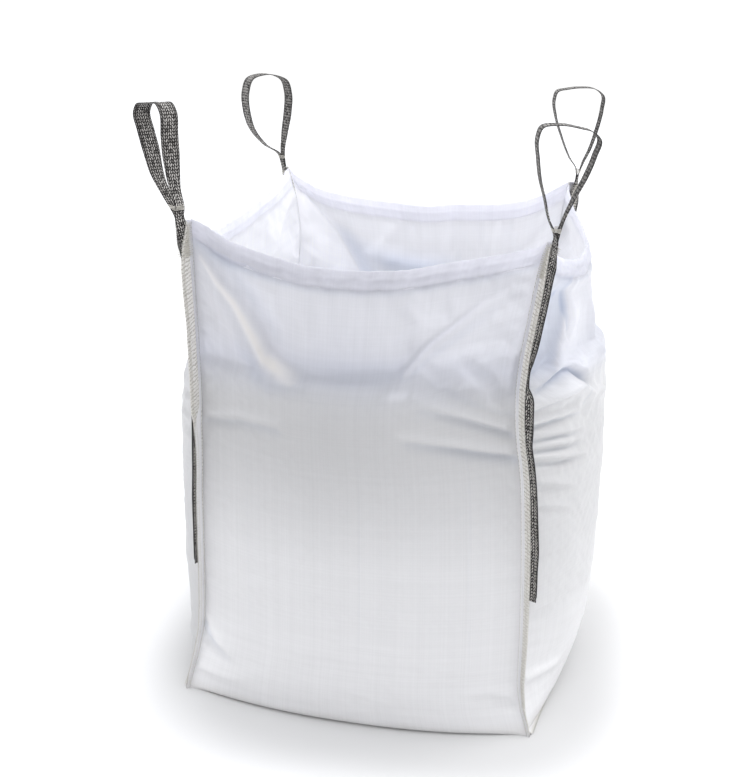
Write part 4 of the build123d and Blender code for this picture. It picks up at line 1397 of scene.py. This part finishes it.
# z, distance of the legs' first edge from the corner line
WEB_SHIFT = {
    "FR": curve(
        .30,.000, .36,.000, .42,.000, .50,.003, .60,.001, .68,-.001, .742,-.002, .80,.005,
        .858,.006, .890,-.011, .935,-.014, .965,-.008, 1.0,-.003, 1.08,-.001, 1.18,.001,
        1.25,.006),
    "FL": curve(
        .30,-.012, .66,-.011, .74,-.013, 1.12,-.016, 1.17,-.013, 1.21,-.004, 1.25,.003),
    "RR": curve(.30,.004, 1.25,.004),
    "RL": curve(.30,.004, 1.25,.004),
}


def web_centre(corner, z, layer):
    """Centre line of the inner (0) or outer (1) webbing layer on the fin."""
    return fin_point(corner, z, WEB_SHIFT[corner](z) + WEB_WIDTH / 2, WEB_FACE - layer * WEB_LAYER)


def gathered_strap(parts, line, width_dir):
    """Webbing that narrows and thickens by height."""
    share = GATHER(line[:, 2])
    strap(parts, line, width_dir, WEB_WIDTH * share, WEB * (1 + 0.9 * (1 - share)))


def loop_path(corner, hinge_x, hinge_y):
    """Line of the webbing up one layer, round the loop and down the other: its points, width
    directions, crown index and the two layers in order."""
    angle, twist, outline = LOOPS[corner]
    angle, twist = math.radians(angle), math.radians(twist)
    plane = np.array([math.cos(angle), math.sin(angle), 0.0])
    fin_out, fin_facing = fin_axes(corner, np.array(1.20))
    width = np.array([plane[1], -plane[0], 0.0])
    if width @ fin_out < 0:
        width = -width
    width = width * math.cos(twist) + plane * math.sin(twist)
    ring = np.array([[hinge_x + along * plane[0], hinge_y + along * plane[1], HINGE_Z + rise]
                     for along, rise in np.reshape(outline, (-1, 2))])
    opening = ring[0] - ring[-1]
    layers = (1, 0) if opening @ fin_facing < 0 else (0, 1)
    fin_z = np.array([LEG_TOP, 1.180, 1.205])
    start, stop = (web_centre(corner, fin_z, layer) for layer in layers)
    neck = np.array([hinge_x, hinge_y, HINGE_Z + 0.004])
    start_neck = neck * 0.55 + (ring[0] + start[-1]) / 2 * 0.45
    stop_neck = neck * 0.55 + (ring[-1] + stop[-1]) / 2 * 0.45
    middle = (start_neck + stop_neck) / 2
    apart = plane * 0.0010 * (1 if opening @ plane > 0 else -1)
    path = spline(np.concatenate(
        [start, [middle + apart], ring, [middle - apart], stop[::-1]]), 420)
    # width direction: the fin's plane below, the loop's own above
    share = smooth(1.19, 1.315, path[:, 2])[:, None]
    fin_width = fin_axes(corner, np.clip(path[:, 2], 0, HEIGHT))[0]
    widths = unit(fin_width * (1 - share) + width[None] * share)
    return path, widths, int(path[:, 2].argmax()), layers


def leg(parts, corner, layer, path, widths):
    """One webbing layer on the fin, carried on by the start of its path."""
    z = np.arange(LEG_END + 0.012 * layer, LEG_TOP, 0.006)
    outward, facing = fin_axes(corner, z)
    twist = 0.10 * noise(z * 11, 0 * z + layer * 3.0, 33 + layer)
    width = outward * np.cos(twist)[:, None] + facing * (np.sin(twist) * 0.25)[:, None]
    low = path[:, 2] <= 1.246
    line = np.concatenate([web_centre(corner, z, layer), path[low]])
    gathered_strap(parts, line, np.concatenate([width, widths[low]]))


def webbing(corner, path, widths, crown, layers):
    """Legs, neck and loop of one corner."""
    name = LONG[corner]
    halves = ((path[: crown + 1], widths[: crown + 1]),
              (path[crown:][::-1], widths[crown:][::-1]))
    legs, neck = Parts(), Parts()
    for layer, (line, line_widths) in zip(layers, halves):
        leg(legs, corner, layer, line, line_widths)
        z = line[:, 2]
        inside = (z >= 1.238) & (z <= 1.287) & (np.arange(len(line)) < 140)
        gathered_strap(neck, line[inside], line_widths[inside])
    dress(legs.object("leg_webbing_" + name), WEBBING, "bag", "webbing",
          "loop_leg_inner_" + name, "loop_leg_outer_" + name)
    built = neck.object("neck_webbing_" + name)
    dress(built, WEBBING, None, "webbing", "loop_neck_" + name)
    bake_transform(built)
    loop = Parts()
    high = path[:, 2] >= 1.280
    gathered_strap(loop, path[high], widths[high])
    built = loop.object("loop_webbing_" + name)
    dress(built, WEBBING, None, "webbing", "lift_loop_" + name)
    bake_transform(built)


def leg_thread(corner):
    """Stitch rows on the outer layer, and one on the other face where the felt leaves it bare."""
    parts = Parts()
    all_z = np.arange(LEG_END + 0.024, 1.16, 0.0085)

    def row(z, across_web, face, turn):
        out = WEB_SHIFT[corner](z) + across_web
        stitches(parts, fin_point(corner, z, out, face), fin_point(corner, z + 0.0058, out, face),
                 0.0006, turn * fin_axes(corner, z)[1] * 0.0004)

    last_row = WEB_WIDTH - 0.005
    for across_web in (0.007, 0.022, last_row):
        row(all_z, across_web, LEG_THREAD_FACE, -1)
    bare = WEB_SHIFT[corner](all_z) + last_row > FELT_END[corner](all_z) + 0.003
    row(all_z[bare], last_row, WEB_FACE + WEB / 2 + 0.0003, 1)
    dress(parts.object("leg_thread_" + LONG[corner]), THREAD, "bag", "thread",
          "leg_stitching_" + LONG[corner])


def bartack(corner):
    """Zigzag of thread over the felt and the webbing below the rim."""
    parts = Parts()
    half_pitch = 0.0024
    for i in range(16):
        bottom = 1.165 + 2 * half_pitch * i
        z = np.array([bottom, bottom + half_pitch])
        for near, far, face, turn in (
            (0.004, FELT_END[corner](bottom) - 0.003, 0.0024, 1),
            (0.006, WEB_WIDTH - 0.004, LEG_THREAD_FACE, -1),
        ):
            stitches(parts, fin_point(corner, z, np.array([near, far]), face),
                     fin_point(corner, z + half_pitch, np.array([far, near]), face),
                     0.0007, turn * fin_axes(corner, z)[1] * 0.0005)
    dress(parts.object("bartack_thread_" + LONG[corner]), THREAD, "bag", "thread",
          "loop_bartack_" + LONG[corner])


def neck_cord(corner, path, widths, crown):
    """Cord wound round the neck."""
    turns, count, radius = 3.5, 90, 0.0008
    levels = np.linspace(1.2755, 1.2850, count)
    index = np.arange(len(path))

    def rows_at_levels(half):
        z = np.where(half, path[:, 2], 9)  # 9 m keeps the other half out
        return [np.abs(z - level).argmin() for level in levels]

    rising, falling = rows_at_levels(index < crown), rows_at_levels(index > crown)
    centre = (path[rising] + path[falling]) / 2
    centre[:, 2] = levels
    gap = np.linalg.norm((path[rising] - path[falling])[:, :2], axis=1)
    width = widths[rising]
    normal = unit(np.cross(np.array([0, 0, 1.0]), width))
    angle = np.linspace(0, 2 * math.pi * turns, count)
    cosine, sine = np.cos(angle), np.sin(angle)
    x = np.sign(cosine) * np.abs(cosine) ** 0.35 * (WEB_WIDTH * 0.25 + 0.0016)
    y = np.sign(sine) * np.abs(sine) ** 0.5 * (gap / 2 + WEB * 0.75 + 0.0010)
    parts = Parts()
    tube(parts, centre + width * x[:, None] + normal * y[:, None], radius)
    name = LONG[corner]
    dress(parts.object("neck_cord_" + name), CORD, "neck_" + name, "tie_cord", "neck_tie_" + name)


# ------------------------------------------------------------------ build the bag

body_panel()
for side in ("left", "right"):
    side_panel(side)
fin_seams("left", ("FL", "RL"))
fin_seams("right", ("FR", "RR"))
for side in WALLS:
    hem_thread(side)
hinges = {}
for corner in SIGN:
    low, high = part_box("loop_neck_" + LONG[corner])
    hinges[corner] = ((low.x + high.x) / 2, (low.y + high.y) / 2)
for corner, hinge in hinges.items():
    path, widths, crown, layers = loop_path(corner, *hinge)
    webbing(corner, path, widths, crown, layers)
    leg_thread(corner)
    bartack(corner)
    neck_cord(corner, path, widths, crown)

# ------------------------------------------------------------------ stage, light and camera


def floor_material():
    net = Nodes(bpy.data.materials.new("floor_pale"))
    x, y = net.uv()
    mottle = net.noise(net.vector(x, y), scale=1.2, detail=2.0, roughness=0.5)
    base = net.mix(mottle, (0.90, 0.90, 0.905), (0.93, 0.93, 0.93))
    # softly darker in a rounded square round the bag
    power = 3.2
    reach_x = abs((x - 0.070) / 0.572) ** power
    reach_y = abs((y + 0.05) / 0.60) ** power
    away = (reach_x + reach_y) ** (1 / power)
    shadow = net.remap(away, 0.90, 1.31, 0.31, 0.0, interpolation_type="SMOOTHSTEP")
    base = net.mix(shadow, base, (0.0, 0.0, 0.0))
    return net.finish(net.principled(base, 0.85, Specular_IOR_Level=0.1))


FLOOR_HALF = 14
floor_corners = [(FLOOR_HALF * x, FLOOR_HALF * y) for x, y in ((-1, -1), (1, -1), (1, 1), (-1, 1))]
floor = mesh_object("floor", [(x, y, 0) for x, y in floor_corners], [(0, 1, 2, 3)], floor_corners)
floor.data.materials.append(floor_material())


def studio_world():
    """White to the camera; as light, brighter overhead and to the rear right."""
    world = bpy.data.worlds.new("studio")
    bpy.context.scene.world = world
    net = Nodes(world)
    direction = net.add("ShaderNodeTexCoord", output="Generated")
    high = net.math("MAXIMUM", net.split(direction)[2], 0.0)
    toward = net.add("ShaderNodeVectorMath", {0: direction, 1: (0.46, 0.54, 0.70)},
                     output="Value", operation="DOT_PRODUCT")
    lobe = net.math("MAXIMUM", toward, 0.0) ** 4.0
    strength = (0.30 + high * 0.80) + (lobe * 0.60 + high**6.0 * 1.60)
    lit = net.add("ShaderNodeBackground", {
        "Color": (0.975, 0.982, 1.0, 1), "Strength": strength})
    seen = net.add("ShaderNodeBackground", {"Color": (1.0, 1.0, 1.0, 1), "Strength": 1.05})
    camera_ray = net.add("ShaderNodeLightPath", output="Is Camera Ray")
    net.finish(net.add("ShaderNodeMixShader", {0: camera_ray, 1: lit, 2: seen}),
               "ShaderNodeOutputWorld")


def aimed(place, back, roll=0.0):
    """Matrix of a light or camera at a place, looking against `back`."""
    back = unit(back)
    level = unit(np.cross([0, 0, 1.0], back))
    upright = np.cross(back, level)
    right = level * math.cos(roll) + upright * math.sin(roll)
    up = -level * math.sin(roll) + upright * math.cos(roll)
    return Matrix([[right[i], up[i], back[i], place[i]] for i in range(3)] + [[0, 0, 0, 1]])


def area(name, place, aim, size, power, color):
    light = bpy.data.lights.new(name, "AREA")
    light.shape = "SQUARE"
    light.size = size
    light.energy = power
    light.color = color
    built = bpy.data.objects.new(name, light)
    bpy.context.scene.collection.objects.link(built)
    built.matrix_world = aimed(place, np.array(place, float) - np.array(aim, float))


def add_camera():
    azimuth, elevation, roll = math.radians(12.0), math.radians(19.4), math.radians(1.04)
    distance = 3.22
    aim = np.array([-0.078, 0.0, 0.724])
    back = np.array([math.sin(azimuth) * math.cos(elevation),
                     -math.cos(azimuth) * math.cos(elevation), math.sin(elevation)])
    data = bpy.data.cameras.new("camera")
    data.sensor_fit = "AUTO"
    data.sensor_width = 36.0
    data.lens = 54.3474903
    data.clip_end = 60
    camera = bpy.data.objects.new("camera", data)
    bpy.context.scene.collection.objects.link(camera)
    camera.matrix_world = aimed(aim + back * distance, back, roll)
    bpy.context.scene.camera = camera


studio_world()
area("key_rear_right", place=(2.5, 1.1, 3.3), aim=(0, 0, 0.8), size=1.3, power=30.0,
     color=(1.0, 0.985, 0.965))
area("fill_left", place=(-3.2, -0.2, 2.4), aim=(0, 0, 0.9), size=2.4, power=16.0,
     color=(0.97, 0.98, 1.0))
add_camera()
view = bpy.context.scene.view_settings
view.view_transform = "Standard"
view.look = "None"
view.exposure = 0.0
view.gamma = 1.0
